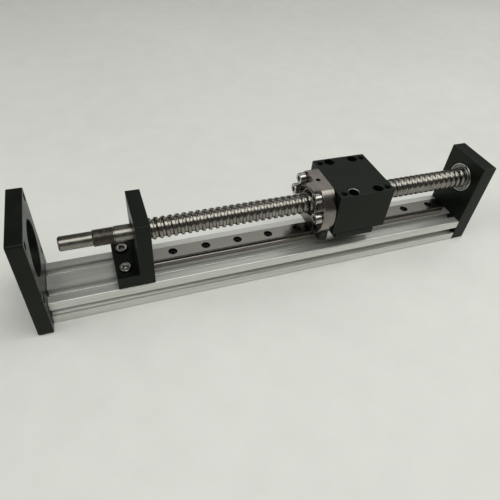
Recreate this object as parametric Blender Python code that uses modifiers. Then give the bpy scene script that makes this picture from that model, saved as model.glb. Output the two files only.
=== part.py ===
"""Ball screw linear stage, built as the separate pieces that it comes apart into.

It stands on Z = 0 with its screw along X: the motor plate is at -X and the end plate at +X, and the
origin is under the middle of the stage. Lengths are in metres. The screw thread is right-handed, so
the nut moves towards -X as the screw turns by the right-hand rule about +X.
"""

import math

import bmesh
import bpy
from mathutils import Matrix, Vector

MM = 0.001
GAP = 0.3 * MM  # clearance between pieces that touch
OVERCUT = 1 * MM  # how far a cutter passes a face

# The stage along X
STAGE_LENGTH = 358 * MM
MOTOR_PLATE_THICKNESS = 10 * MM
END_PLATE_THICKNESS = 12 * MM
STAGE_LOW = -STAGE_LENGTH / 2
STAGE_HIGH = STAGE_LENGTH / 2
MOTOR_PLATE_FACE = STAGE_LOW + MOTOR_PLATE_THICKNESS
END_PLATE_FACE = STAGE_HIGH - END_PLATE_THICKNESS

# Aluminium profile, lying flat, with two T-slots above, two below and one on each side
PROFILE_WIDTH = 40 * MM
PROFILE_HEIGHT = 20 * MM
SLOT_Y = 10 * MM
CORE_BORE_RADIUS = 2.8 * MM

# Guide rail and its screws
RAIL_WIDTH = 12 * MM
RAIL_TOP = 28 * MM
RAIL_LOW = -96.7 * MM  # against the support block
RAIL_HIGH = 157.3 * MM
RAIL_PITCH = 25 * MM
RAIL_FIRST_HOLE = -80.2 * MM
RAIL_HOLES = 10
RAIL_COUNTERBORE_DEPTH = 4.5 * MM

# Screw axis and thread
SCREW_Z = 53 * MM
LEAD = 5 * MM
CREST_RADIUS = 7.7 * MM
ROOT_RADIUS = 6.5 * MM
THREAD_LOW = -96.9 * MM
THREAD_HIGH = 166.9 * MM
SCREW_LOW = -154.6 * MM
SCREW_HIGH = 176.4 * MM
DRIVE_END = -133 * MM
LOCKNUT_THREAD_END = -118.8 * MM
DRIVE_RADIUS = 5 * MM
JOURNAL_RADIUS = 6 * MM
CIRCLIP_GROOVE = (173.9 * MM, 175.1 * MM)
GROOVE_CENTRE = 3.35 * MM  # from a crest's start to the middle of the ball groove
THREAD_COLUMNS = 12

# Motor plate: a flange pattern for a 57 mm square stepper motor
MOTOR_PLATE_WIDTH = 57 * MM
MOTOR_PLATE_HEIGHT = SCREW_Z + MOTOR_PLATE_WIDTH / 2
PILOT_RADIUS = 19.05 * MM
MOTOR_HOLE_OFFSET = 23.57 * MM
MOTOR_HOLE_RADIUS = 2.1 * MM

# End plate and support block
BLOCK_WIDTH = 40 * MM
BLOCK_HEIGHT = 73 * MM
SUPPORT_FACE = -97 * MM
SUPPORT_THICKNESS = 10 * MM
SUPPORT_FOOT_END = -122.3 * MM
SUPPORT_FOOT_TOP = 30 * MM
SUPPORT_SCREW_X = -115.4 * MM

# Bearings, 12 x 24 x 6 mm
BEARING_OUTER = 12 * MM
BEARING_WIDTH = 6 * MM
BEARING_SEAT = BEARING_OUTER + GAP
BEARING_SEAT_DEPTH = BEARING_WIDTH + 2 * GAP
BALL_PITCH_RADIUS = 9.1 * MM
BEARING_BALL_RADIUS = 1.2 * MM
BEARING_BALLS = 11

# Nut housing, adapter plate and rail carriage
HOUSING_LOW = 36.5 * MM
HOUSING_HIGH = 81 * MM
HOUSING_MIDDLE = (HOUSING_LOW + HOUSING_HIGH) / 2
HOUSING_WIDTH = 49 * MM
HOUSING_BOTTOM = 38.6 * MM
HOUSING_TOP = BLOCK_HEIGHT
HOUSING_SCREW_X = 10 * MM
HOUSING_TAP_X = 18 * MM
HOUSING_HOLE_Y = 20 * MM
HOUSING_HEAD_SEAT = 57 * MM
CARRIAGE_MIDDLE = 55.95 * MM
CARRIAGE_BODY_LENGTH = 32.4 * MM
CARRIAGE_CAP_LENGTH = 6.2 * MM
CARRIAGE_WIDTH = 27 * MM
CARRIAGE_BOTTOM = 23 * MM
CARRIAGE_TOP = 33 * MM
CARRIAGE_SCREW_OFFSET = 10 * MM
ADAPTER_BOTTOM = CARRIAGE_TOP + GAP
ADAPTER_TOP = HOUSING_BOTTOM - GAP
ADAPTER_HEAD_SEAT = 35.1 * MM

# Ball nut
FLANGE_FACE = 26.2 * MM
FLANGE_THICKNESS = 10 * MM
FLANGE_RADIUS = 24 * MM
FLANGE_FLAT = 20 * MM
FLANGE_PITCH_RADIUS = 19 * MM
FLANGE_HOLE_RADIUS = 2.75 * MM
NUT_RADIUS = 14 * MM
NUT_LENGTH = 42 * MM
NUT_CHAMBER_RADIUS = 10 * MM
WIPER_SEAT_RADIUS = 11 * MM
WIPER_SEAT_DEPTH = 4 * MM
BALL_PATH_RADIUS = 8.25 * MM
BALL_TUBE_RADIUS = 1.4 * MM
FLANGE_SCREW_ANGLES = {
    "near_upper": 135,
    "near_middle": 180,
    "far_upper": 45,
    "far_middle": 0,
}

# Local axes of a piece whose local Z runs along +X, with local X along +Y and local Y along +Z
ALONG_X = (math.pi / 2, 0, math.pi / 2)
# Local axes of an outline drawn in X and Z and extruded along Y
ACROSS_Y = (math.pi / 2, 0, 0)

# Base colour, metallic, roughness
MATERIALS = {
    "black_anodised": ((0.018, 0.02, 0.019), 0.0, 0.42),
    "aluminium": ((0.72, 0.73, 0.72), 1.0, 0.34),
    "rail_steel": ((0.5, 0.48, 0.46), 1.0, 0.3),
    "screw_steel": ((0.62, 0.6, 0.57), 1.0, 0.2),
    "nut_steel": ((0.42, 0.38, 0.36), 1.0, 0.36),
    "bearing_steel": ((0.55, 0.55, 0.54), 1.0, 0.22),
    "stainless": ((0.62, 0.61, 0.58), 1.0, 0.25),
    "black_oxide": ((0.03, 0.03, 0.032), 0.6, 0.45),
    "carriage_steel": ((0.58, 0.58, 0.56), 1.0, 0.28),
    "green_plastic": ((0.06, 0.11, 0.075), 0.0, 0.45),
    "shield_steel": ((0.48, 0.48, 0.46), 1.0, 0.34),
    "wiper_plastic": ((0.03, 0.03, 0.028), 0.0, 0.5),
    "ball_steel": ((0.68, 0.68, 0.68), 1.0, 0.1),
    "zinc_steel": ((0.5, 0.5, 0.49), 1.0, 0.35),
}


def clear_scene():
    for obj in list(bpy.data.objects):
        bpy.data.objects.remove(obj, do_unlink=True)


def new_collection(name):
    collection = bpy.data.collections.new(name)
    bpy.context.scene.collection.children.link(collection)
    return collection


def material(name):
    """The Principled material of that name, made on first use."""
    if name in bpy.data.materials:
        return bpy.data.materials[name]
    colour, metallic, roughness = MATERIALS[name]
    made = bpy.data.materials.new(name)
    made.use_nodes = True
    shader = made.node_tree.nodes["Principled BSDF"]
    shader.inputs["Base Color"].default_value = (*colour, 1)
    shader.inputs["Metallic"].default_value = metallic
    shader.inputs["Roughness"].default_value = roughness
    made.diffuse_color = (*colour, 1)
    return made


def add_part(name, mesh, finish, location=(0, 0, 0), rotation=(0, 0, 0), parent=None):
    """A named piece of the stage. Location and rotation are in the stage's frame, also under a parent."""
    obj = bpy.data.objects.new(name, mesh)
    stage_parts.objects.link(obj)
    obj.location = location
    obj.rotation_euler = rotation
    if not mesh.materials:
        mesh.materials.append(material(finish))
    if parent:
        obj.parent = parent
        obj.matrix_parent_inverse = Matrix.Translation(parent.location).inverted()
    return obj


def add_axis(name, location):
    """An empty on a joint's axis, which carries the pieces that move with the joint."""
    empty = bpy.data.objects.new(name, None)
    stage_parts.objects.link(empty)
    empty.location = location
    return empty


def shade(mesh):
    mesh.shade_smooth()
    mesh.set_sharp_from_angle(angle=math.radians(35))
    return mesh


def evaluated_mesh(obj):
    """An object's plain mesh, with its modifiers or curve settings worked out. The object is removed."""
    bpy.context.view_layer.update()
    graph = bpy.context.evaluated_depsgraph_get()
    mesh = bpy.data.meshes.new_from_object(obj.evaluated_get(graph))
    bpy.data.objects.remove(obj, do_unlink=True)
    return mesh


def welded_mesh(obj):
    """The same for a curve, whose caps are loose until its doubled points are joined."""
    mesh = evaluated_mesh(obj)
    mesh.materials.clear()
    shape = bmesh.new()
    shape.from_mesh(mesh)
    bmesh.ops.remove_doubles(shape, verts=shape.verts, dist=0.001 * MM)
    bmesh.ops.recalc_face_normals(shape, faces=shape.faces)
    shape.to_mesh(mesh)
    shape.free()
    return mesh


def box_mesh(size):
    """A box round the origin."""
    shape = bmesh.new()
    bmesh.ops.create_cube(shape, size=1)
    bmesh.ops.scale(shape, vec=size, verts=shape.verts)
    mesh = bpy.data.meshes.new("box")
    shape.to_mesh(mesh)
    shape.free()
    return mesh


def turned_mesh(profile, segments, closed=False):
    """A turned shape about local Z. The profile is (radius, z), its outer side listed from top to bottom.
    A closed profile is a ring's section; an open one starts and ends on the axis."""
    mesh = bpy.data.meshes.new("turned")
    count = len(profile)
    edges = [(i, i + 1) for i in range(count - 1)]
    if closed:
        edges.append((count - 1, 0))
    mesh.from_pydata([(radius, 0, z) for radius, z in profile], edges, [])
    obj = bpy.data.objects.new("turned", mesh)
    bpy.context.scene.collection.objects.link(obj)
    screw = obj.modifiers.new("turn", "SCREW")
    screw.steps = segments
    screw.render_steps = segments
    screw.use_merge_vertices = True
    screw.merge_threshold = 0.001 * MM
    return shade(evaluated_mesh(obj))


def ring_mesh(inner, outer, low, high, segments):
    return turned_mesh([(outer, high), (outer, low), (inner, low), (inner, high)], segments, closed=True)


def cylinder_profile(radius, low, high):
    return [(0, high), (radius, high), (radius, low), (0, low)]


def stepped_profile(wide, narrow, low, step, high):
    """A counterbore cutter's profile: wide from step up to high, narrow from low up to step."""
    return [(0, high), (wide, high), (wide, step), (narrow, step), (narrow, low), (0, low)]


def outline_mesh(loops, thickness):
    """A flat outline in local X and Y, extruded along local Z about Z = 0. Any further loops are holes."""
    curve = bpy.data.curves.new("outline", "CURVE")
    curve.dimensions = "2D"
    curve.fill_mode = "BOTH"
    curve.extrude = thickness / 2
    for loop in loops:
        spline = curve.splines.new("POLY")
        spline.points.add(len(loop) - 1)
        for point, (x, y) in zip(spline.points, loop):
            point.co = (x, y, 0, 1)
        spline.use_cyclic_u = True
    obj = bpy.data.objects.new("outline", curve)
    bpy.context.scene.collection.objects.link(obj)
    return welded_mesh(obj)


def circle(radius, segments, centre=(0, 0)):
    angles = [2 * math.pi * i / segments for i in range(segments)]
    return [(centre[0] + radius * math.cos(a), centre[1] + radius * math.sin(a)) for a in angles]


def tube_mesh(points, radius, cyclic=False):
    """A round tube along the points, eight-sided."""
    curve = bpy.data.curves.new("tube", "CURVE")
    curve.dimensions = "3D"
    curve.bevel_depth = radius
    curve.bevel_resolution = 2
    curve.use_fill_caps = not cyclic
    spline = curve.splines.new("POLY")
    spline.points.add(len(points) - 1)
    for point, position in zip(spline.points, points):
        point.co = (*position, 1)
    spline.use_cyclic_u = cyclic
    obj = bpy.data.objects.new("tube", curve)
    bpy.context.scene.collection.objects.link(obj)
    return shade(welded_mesh(obj))


def bevel(obj, width):
    modifier = obj.modifiers.new("edges", "BEVEL")
    modifier.width = width
    modifier.segments = 1
    modifier.limit_method = "ANGLE"
    modifier.angle_limit = math.radians(50)


def cut(obj, mesh, placements):
    """Cuts copies of a closed mesh out of a piece. Each placement is a matrix in the stage's frame."""
    shape = bmesh.new()
    for placement in placements:
        start = len(shape.verts)
        shape.from_mesh(mesh)
        shape.verts.ensure_lookup_table()
        bmesh.ops.transform(shape, matrix=placement, verts=shape.verts[start:])
    joined = bpy.data.meshes.new("cutter")
    shape.to_mesh(joined)
    shape.free()
    cutter = bpy.data.objects.new(f"{obj.name}_cutter", joined)
    cutters.objects.link(cutter)
    cutter.hide_render = True
    cutter.display_type = "WIRE"
    modifier = obj.modifiers.new("cut", "BOOLEAN")
    modifier.operation = "DIFFERENCE"
    modifier.object = cutter


def at(x, y, z):
    """A placement that keeps local Z upright."""
    return Matrix.Translation((x, y, z))


def pointing_x(x, y, z):
    """A placement with local Z along +X."""
    return Matrix.LocRotScale(Vector((x, y, z)), Matrix(((0, 0, 1), (1, 0, 0), (0, 1, 0))), None)


def pointing_minus_x(x, y, z):
    """A placement with local Z along -X."""
    return Matrix.LocRotScale(Vector((x, y, z)), Matrix(((0, 0, -1), (-1, 0, 0), (0, 1, 0))), None)


def socket_screw_mesh(name, thread_radius, length, head_radius, head_height, socket_radius):
    """A hexagon socket cap screw. The underside of its head is at Z = 0 and its shank points down."""
    profile = [
        (0, head_height),
        (head_radius, head_height),
        (head_radius, 0),
        (thread_radius, 0),
        (thread_radius, -length),
        (0, -length),
    ]
    body = bpy.data.objects.new(name, turned_mesh(profile, 10))
    bpy.context.scene.collection.objects.link(body)
    socket = turned_mesh(cylinder_profile(socket_radius, head_height * 0.45, head_height + OVERCUT), 6)
    cut(body, socket, [at(0, 0, 0)])
    mesh = evaluated_mesh(body)
    mesh.name = name
    return shade(mesh)


def t_slot(face_centre, along, inward):
    """Points round one T-slot of the profile, walking along the face in the direction given."""
    half = [(3.1, 0), (3.1, 1.8), (5.6, 1.9), (5.6, 3), (3, 6)]
    points = [(-width, depth) for width, depth in half] + list(reversed(half))
    centre, step, drop = Vector(face_centre), Vector(along), Vector(inward)
    return [tuple(centre + step * width * MM + drop * depth * MM) for width, depth in points]


def profile_outline():
    """The outer outline of the base profile in Y and Z, anticlockwise from its lower left corner."""
    half, top, middle = PROFILE_WIDTH / 2, PROFILE_HEIGHT, PROFILE_HEIGHT / 2
    corner = 0.8 * MM
    points = [(-half + corner, 0)]
    for y in (-SLOT_Y, SLOT_Y):
        points += t_slot((y, 0), (1, 0), (0, 1))
    points += [(half - corner, 0), (half, corner)]
    points += t_slot((half, middle), (0, 1), (-1, 0))
    points += [(half, top - corner), (half - corner, top)]
    for y in (SLOT_Y, -SLOT_Y):
        points += t_slot((y, top), (-1, 0), (0, -1))
    points += [(-half + corner, top), (-half, top - corner)]
    points += t_slot((-half, middle), (0, -1), (1, 0))
    points.append((-half, corner))
    return points


def core_hollow():
    """The profile's middle hollow, a box with cut corners."""
    wide, high, corner = 4 * MM, 5.5 * MM, 1.7 * MM
    middle = PROFILE_HEIGHT / 2
    quarter = [(wide, high - corner), (wide - corner, high)]
    upper = quarter + [(-y, z) for y, z in reversed(quarter)]
    loop = upper + [(-y, -z) for y, z in upper]
    return [(y, middle + z) for y, z in loop]


def rail_hole_positions():
    return [RAIL_FIRST_HOLE + RAIL_PITCH * i for i in range(RAIL_HOLES)]


def make_base_extrusion():
    bores = [circle(CORE_BORE_RADIUS, 12, (y, PROFILE_HEIGHT / 2)) for y in (-SLOT_Y, SLOT_Y)]
    low, high = MOTOR_PLATE_FACE + GAP, END_PLATE_FACE - GAP
    mesh = outline_mesh([profile_outline(), core_hollow(), *bores], high - low)
    obj = add_part("base_extrusion", mesh, "aluminium", ((low + high) / 2, 0, 0), ALONG_X)
    hole = turned_mesh(cylinder_profile(1.9 * MM, 14 * MM, PROFILE_HEIGHT + OVERCUT), 8)
    cut(obj, hole, [at(x, 0, 0) for x in rail_hole_positions()])


def rail_outline():
    """The rail's section in Y and Z: flat top and foot, and a ball groove in each side."""
    half, foot = RAIL_WIDTH / 2, PROFILE_HEIGHT + GAP
    deep = half - 0.9 * MM
    groove = [(half, 24 * MM), (deep, 24.8 * MM), (deep, 25.8 * MM), (half, 26.6 * MM)]
    right = [(half, foot), *groove, (half, RAIL_TOP - 0.5 * MM), (half - 0.5 * MM, RAIL_TOP)]
    return right + [(-y, z) for y, z in reversed(right)]


def make_rail():
    bar = outline_mesh([rail_outline()], RAIL_HIGH - RAIL_LOW)
    obj = add_part("linear_rail", bar, "rail_steel", ((RAIL_LOW + RAIL_HIGH) / 2, 0, 0), ALONG_X)
    seat = RAIL_TOP - RAIL_COUNTERBORE_DEPTH
    profile = stepped_profile(3 * MM, 1.9 * MM, PROFILE_HEIGHT - OVERCUT, seat, RAIL_TOP + OVERCUT)
    cut(obj, turned_mesh(profile, 12), [at(x, 0, 0) for x in rail_hole_positions()])
    screw = socket_screw_mesh("m3_rail_screw", 1.5 * MM, 8 * MM, 2.65 * MM, 3 * MM, 1.4 * MM)
    for number, x in enumerate(rail_hole_positions(), 1):
        add_part(f"rail_screw_{number:02d}", screw, "black_oxide", (x, 0, seat + GAP))


def m5_screw_mesh(name, length):
    return socket_screw_mesh(name, 2.45 * MM, length, 4.25 * MM, 5 * MM, 2.3 * MM)


def cut_end_screw_holes(obj, placements):
    """Counterbored holes for the two M5 screws that go through a plate into the profile's core bores."""
    thickness = obj.dimensions.x
    seat = -5.3 * MM
    profile = stepped_profile(4.65 * MM, 2.8 * MM, -thickness - OVERCUT, seat, OVERCUT)
    cut(obj, turned_mesh(profile, 12), placements)


def make_motor_plate():
    size = (MOTOR_PLATE_THICKNESS, MOTOR_PLATE_WIDTH, MOTOR_PLATE_HEIGHT)
    middle = STAGE_LOW + MOTOR_PLATE_THICKNESS / 2
    obj = add_part("motor_plate", box_mesh(size), "black_anodised", (middle, 0, MOTOR_PLATE_HEIGHT / 2))
    bevel(obj, 0.5 * MM)
    bpy.context.view_layer.update()
    low, high = STAGE_LOW - OVERCUT, MOTOR_PLATE_FACE + OVERCUT
    cut(obj, turned_mesh(cylinder_profile(PILOT_RADIUS, low, high), 32), [pointing_x(0, 0, SCREW_Z)])
    hole = turned_mesh(cylinder_profile(MOTOR_HOLE_RADIUS, low, high), 8)
    offsets = (-MOTOR_HOLE_OFFSET, MOTOR_HOLE_OFFSET)
    cut(obj, hole, [pointing_x(0, y, SCREW_Z + z) for y in offsets for z in offsets])
    core = PROFILE_HEIGHT / 2
    cut_end_screw_holes(obj, [pointing_minus_x(STAGE_LOW, y, core) for y in (-SLOT_Y, SLOT_Y)])
    screw = m5_screw_mesh("m5_end_screw", 18 * MM)
    for side, y in (("near", -SLOT_Y), ("far", SLOT_Y)):
        location = (STAGE_LOW + 5 * MM, y, PROFILE_HEIGHT / 2)
        add_part(f"motor_plate_screw_{side}", screw, "black_oxide", location, (0, -math.pi / 2, 0))


def bearing_seat_mesh():
    """Cutter for a bearing seat and the smaller opening behind it, with the seated face at Z = 0."""
    back = -END_PLATE_THICKNESS - OVERCUT
    return turned_mesh(stepped_profile(BEARING_SEAT, 9 * MM, back, -BEARING_SEAT_DEPTH, OVERCUT), 24)


def make_end_plate():
    size = (END_PLATE_THICKNESS, BLOCK_WIDTH, BLOCK_HEIGHT)
    middle = STAGE_HIGH - END_PLATE_THICKNESS / 2
    obj = add_part("end_plate", box_mesh(size), "black_anodised", (middle, 0, BLOCK_HEIGHT / 2))
    bevel(obj, 0.5 * MM)
    bpy.context.view_layer.update()
    cut(obj, bearing_seat_mesh(), [pointing_minus_x(END_PLATE_FACE, 0, SCREW_Z)])
    cut_end_screw_holes(obj, [pointing_x(STAGE_HIGH, y, PROFILE_HEIGHT / 2) for y in (-SLOT_Y, SLOT_Y)])
    screw = m5_screw_mesh("m5_end_plate_screw", 20 * MM)
    for side, y in (("near", -SLOT_Y), ("far", SLOT_Y)):
        location = (STAGE_HIGH - 5 * MM, y, PROFILE_HEIGHT / 2)
        add_part(f"end_plate_screw_{side}", screw, "black_oxide", location, (0, math.pi / 2, 0))


def support_outline():
    """The L-shaped support block in X and Z."""
    foot = PROFILE_HEIGHT + GAP
    back = SUPPORT_FACE - SUPPORT_THICKNESS
    return [
        (SUPPORT_FOOT_END, foot),
        (SUPPORT_FACE, foot),
        (SUPPORT_FACE, BLOCK_HEIGHT),
        (back, BLOCK_HEIGHT),
        (back, SUPPORT_FOOT_TOP),
        (SUPPORT_FOOT_END, SUPPORT_FOOT_TOP),
    ]


def make_support_block():
    mesh = outline_mesh([support_outline()], BLOCK_WIDTH)
    obj = add_part("support_block", mesh, "black_anodised", rotation=ACROSS_Y)
    bevel(obj, 0.4 * MM)
    cut(obj, bearing_seat_mesh(), [pointing_x(SUPPORT_FACE, 0, SCREW_Z)])
    seat = SUPPORT_FOOT_TOP - 3.6 * MM
    top = SUPPORT_FOOT_TOP + OVERCUT
    profile = stepped_profile(4.65 * MM, 2.8 * MM, PROFILE_HEIGHT - OVERCUT, seat, top)
    sides = (("near", -SLOT_Y), ("far", SLOT_Y))
    cut(obj, turned_mesh(profile, 12), [at(SUPPORT_SCREW_X, y, 0) for _, y in sides])
    screw = m5_screw_mesh("m5_support_screw", 11.5 * MM)
    nut = t_nut_mesh()
    for side, y in sides:
        add_part(f"support_screw_{side}", screw, "stainless", (SUPPORT_SCREW_X, y, seat + GAP))
        t_nut = add_part(f"t_nut_{side}", nut, "zinc_steel", (SUPPORT_SCREW_X, y, PROFILE_HEIGHT), ALONG_X)
        hole = turned_mesh(cylinder_profile(2.8 * MM, PROFILE_HEIGHT - 8 * MM, PROFILE_HEIGHT), 12)
        cut(t_nut, hole, [at(SUPPORT_SCREW_X, y, 0)])


def t_nut_mesh():
    """A T-slot nut, below the slot's lips."""
    half = [(5 * MM, -2.1 * MM), (5 * MM, -3 * MM), (3.4 * MM, -4.9 * MM)]
    return outline_mesh([half + [(-y, z) for y, z in reversed(half)]], 12 * MM)


def beaded_ring_mesh(path_radius, ball_radius, balls):
    """Balls in a cage round local Z, as one ring that is thick at each ball and thin between them."""
    steps, sides = balls * 2, 6
    bpy.ops.mesh.primitive_torus_add(
        major_segments=steps, minor_segments=sides, major_radius=path_radius, minor_radius=ball_radius
    )
    torus = bpy.context.active_object
    for vertex in torus.data.vertices:
        angle = math.atan2(vertex.co.y, vertex.co.x)
        turns = angle * balls / (2 * math.pi)
        share = 1 - abs(turns - round(turns))
        centre = Vector((math.cos(angle), math.sin(angle), 0)) * path_radius
        vertex.co = centre + (vertex.co - centre) * share
    return shade(evaluated_mesh(torus))


def make_bearing(prefix, low, screw_axis, cage_axis):
    """A shielded ball bearing on the screw's axis, from low to low + its width along X."""
    shield = ring_mesh(8.5 * MM, 10.3 * MM, -0.25 * MM, 0.25 * MM, 20)
    place = (low, 0, SCREW_Z)
    outer = ring_mesh(10.6 * MM, BEARING_OUTER, 0, BEARING_WIDTH, 24)
    inner = ring_mesh(JOURNAL_RADIUS + GAP, 7.6 * MM, 0, BEARING_WIDTH, 20)
    add_part(f"{prefix}_bearing_outer_ring", outer, "bearing_steel", place, ALONG_X)
    add_part(f"{prefix}_bearing_inner_ring", inner, "bearing_steel", place, ALONG_X, screw_axis)
    cage = beaded_ring_mesh(BALL_PITCH_RADIUS, BEARING_BALL_RADIUS, BEARING_BALLS)
    middle = (low + BEARING_WIDTH / 2, 0, SCREW_Z)
    add_part(f"{prefix}_bearing_ball_cage", cage, "ball_steel", middle, ALONG_X, cage_axis)
    for side, offset in (("left", 0.45 * MM), ("right", BEARING_WIDTH - 0.45 * MM)):
        place = (low + offset, 0, SCREW_Z)
        add_part(f"{prefix}_bearing_seal_{side}", shield, "shield_steel", place, ALONG_X)


def thread_profile():
    """One pitch of the ball thread as (distance along the axis, radius)."""
    return [(0, CREST_RADIUS), (1.7 * MM, CREST_RADIUS), (2.6 * MM, ROOT_RADIUS), (4.1 * MM, ROOT_RADIUS)]


def thread_radius(distance):
    """The thread's radius at a distance along the axis from a crest's start."""
    knots = thread_profile() + [(LEAD, CREST_RADIUS)]
    distance %= LEAD
    for (x0, r0), (x1, r1) in zip(knots, knots[1:]):
        if distance <= x1:
            return r0 + (r1 - r0) * (distance - x0) / (x1 - x0)
    return CREST_RADIUS


def thread_column(turn):
    """The thread's outline at one angle, a share of a turn, from THREAD_LOW to THREAD_HIGH."""
    pitches = math.ceil((THREAD_HIGH - THREAD_LOW) / LEAD)
    column = []
    for pitch in range(-1, pitches + 1):
        for offset, radius in thread_profile():
            x = THREAD_LOW + LEAD * (pitch + turn) + offset
            held = min(max(x, THREAD_LOW), THREAD_HIGH)
            if held != x:
                radius = thread_radius(held - THREAD_LOW - LEAD * turn)
            column.append((held, radius))
    return column


def screw_column(turn):
    """The whole screw's outline at one angle, from the drive end's face to the far end's face."""
    chamfer = 0.8 * MM
    groove_low, groove_high = CIRCLIP_GROOVE
    groove_radius = 5.5 * MM
    drive_end = [
        (SCREW_LOW, 0),
        (SCREW_LOW, DRIVE_RADIUS - chamfer),
        (SCREW_LOW + chamfer, DRIVE_RADIUS),
        (DRIVE_END, DRIVE_RADIUS),
        (DRIVE_END, JOURNAL_RADIUS - 0.6 * MM),
        (DRIVE_END + 0.6 * MM, JOURNAL_RADIUS - 0.1 * MM),
        (LOCKNUT_THREAD_END, JOURNAL_RADIUS - 0.1 * MM),
        (LOCKNUT_THREAD_END, JOURNAL_RADIUS),
        (THREAD_LOW, JOURNAL_RADIUS),
    ]
    far_end = [
        (THREAD_HIGH, JOURNAL_RADIUS),
        (groove_low, JOURNAL_RADIUS),
        (groove_low, groove_radius),
        (groove_high, groove_radius),
        (groove_high, JOURNAL_RADIUS),
        (SCREW_HIGH - chamfer, JOURNAL_RADIUS),
        (SCREW_HIGH, JOURNAL_RADIUS - chamfer),
        (SCREW_HIGH, 0),
    ]
    return drive_end + thread_column(turn) + far_end


def make_ball_screw(axis):
    """The screw as columns of points round its axis. The thread's points move on by one lead in a turn, so
    the last column meets the first, one pitch along."""
    shape = bmesh.new()
    columns = []
    for step in range(THREAD_COLUMNS + 1):
        angle = 2 * math.pi * step / THREAD_COLUMNS
        across = Vector((math.cos(angle), math.sin(angle), 0))
        points = screw_column(step / THREAD_COLUMNS)
        columns.append([shape.verts.new(across * radius + Vector((0, 0, x))) for x, radius in points])
    for left, right in zip(columns, columns[1:]):
        for i in range(len(left) - 1):
            shape.faces.new((left[i], right[i], right[i + 1], left[i + 1]))
    bmesh.ops.remove_doubles(shape, verts=shape.verts, dist=0.002 * MM)
    bmesh.ops.recalc_face_normals(shape, faces=shape.faces)
    mesh = bpy.data.meshes.new("ball_screw")
    shape.to_mesh(mesh)
    shape.free()
    add_part("ball_screw", shade(mesh), "screw_steel", (0, 0, SCREW_Z), ALONG_X, axis)


def make_circlip(axis):
    """A C-shaped retaining ring in the screw's groove, outside the rear bearing."""
    inner, outer, thickness = 5.8 * MM, 7.4 * MM, 0.7 * MM
    opening = math.radians(40)
    angles = [opening + (2 * math.pi - 2 * opening) * i / 14 for i in range(15)]
    loop = [(outer * math.cos(a), outer * math.sin(a)) for a in angles]
    loop += [(inner * math.cos(a), inner * math.sin(a)) for a in reversed(angles)]
    middle = sum(CIRCLIP_GROOVE) / 2
    mesh = outline_mesh([loop], thickness)
    add_part("rear_circlip", mesh, "black_oxide", (middle, 0, SCREW_Z), ALONG_X, axis)


def nut_profile():
    """The ball nut's section from its far end (top) to its flange face at Z = 0."""
    chamber_top = NUT_LENGTH - WIPER_SEAT_DEPTH
    radius = NUT_RADIUS - 0.1 * MM
    return [
        (radius - 0.6 * MM, NUT_LENGTH),
        (radius, NUT_LENGTH - 0.6 * MM),
        (radius, FLANGE_THICKNESS),
        (FLANGE_RADIUS - 0.5 * MM, FLANGE_THICKNESS),
        (FLANGE_RADIUS, FLANGE_THICKNESS - 0.5 * MM),
        (FLANGE_RADIUS, 0.5 * MM),
        (FLANGE_RADIUS - 0.5 * MM, 0),
        (WIPER_SEAT_RADIUS, 0),
        (WIPER_SEAT_RADIUS, WIPER_SEAT_DEPTH),
        (NUT_CHAMBER_RADIUS, WIPER_SEAT_DEPTH),
        (NUT_CHAMBER_RADIUS, chamber_top),
        (WIPER_SEAT_RADIUS, chamber_top),
        (WIPER_SEAT_RADIUS, NUT_LENGTH),
    ]


def on_flange(degrees):
    """Y and Z of a point on the flange's hole circle."""
    angle = math.radians(degrees)
    return FLANGE_PITCH_RADIUS * math.cos(angle), SCREW_Z + FLANGE_PITCH_RADIUS * math.sin(angle)


def make_ball_nut(axis):
    mesh = turned_mesh(nut_profile(), 24, closed=True)
    obj = add_part("ball_nut", mesh, "nut_steel", (FLANGE_FACE, 0, SCREW_Z), ALONG_X, axis)
    hole = turned_mesh(cylinder_profile(FLANGE_HOLE_RADIUS, -OVERCUT, FLANGE_THICKNESS + OVERCUT), 12)
    angles = (0, 45, 135, 180, 225, 315)
    cut(obj, hole, [pointing_x(FLANGE_FACE, *on_flange(degrees)) for degrees in angles])
    slab_height = FLANGE_RADIUS - FLANGE_FLAT + OVERCUT
    slab = box_mesh((FLANGE_THICKNESS + 2 * OVERCUT, 3 * FLANGE_RADIUS, slab_height))
    reach = (FLANGE_RADIUS + FLANGE_FLAT + OVERCUT) / 2
    middle = FLANGE_FACE + FLANGE_THICKNESS / 2
    cut(obj, slab, [at(middle, 0, SCREW_Z + side * reach) for side in (-1, 1)])
    oil_hole = turned_mesh(cylinder_profile(1.65 * MM, FLANGE_FLAT - 5 * MM, FLANGE_FLAT + OVERCUT), 12)
    cut(obj, oil_hole, [at(FLANGE_FACE + 3.5 * MM, 0, SCREW_Z)])
    wiper = ring_mesh(CREST_RADIUS + GAP, WIPER_SEAT_RADIUS - GAP, GAP, WIPER_SEAT_DEPTH - GAP, 24)
    add_part("nut_wiper_front", wiper, "wiper_plastic", (FLANGE_FACE, 0, SCREW_Z), ALONG_X, axis)
    rear = FLANGE_FACE + NUT_LENGTH - WIPER_SEAT_DEPTH
    add_part("nut_wiper_rear", wiper, "wiper_plastic", (rear, 0, SCREW_Z), ALONG_X, axis)
    make_ball_circuits(axis)


def make_ball_circuits(axis):
    """Three single-turn rows of balls in the thread's groove, two leads apart, each as a tube."""
    steps, first_pitch = 14, 26
    for number in range(3):
        points = []
        for step in range(steps + 1):
            turn = 0.05 + 0.9 * step / steps
            angle = 2 * math.pi * turn
            x = THREAD_LOW + LEAD * (first_pitch + 2 * number + turn) + GROOVE_CENTRE
            points.append((BALL_PATH_RADIUS * math.cos(angle), BALL_PATH_RADIUS * math.sin(angle), x))
        mesh = tube_mesh(points, BALL_TUBE_RADIUS)
        add_part(f"ball_circuit_{number + 1}", mesh, "ball_steel", (0, 0, SCREW_Z), ALONG_X, axis)


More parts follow.
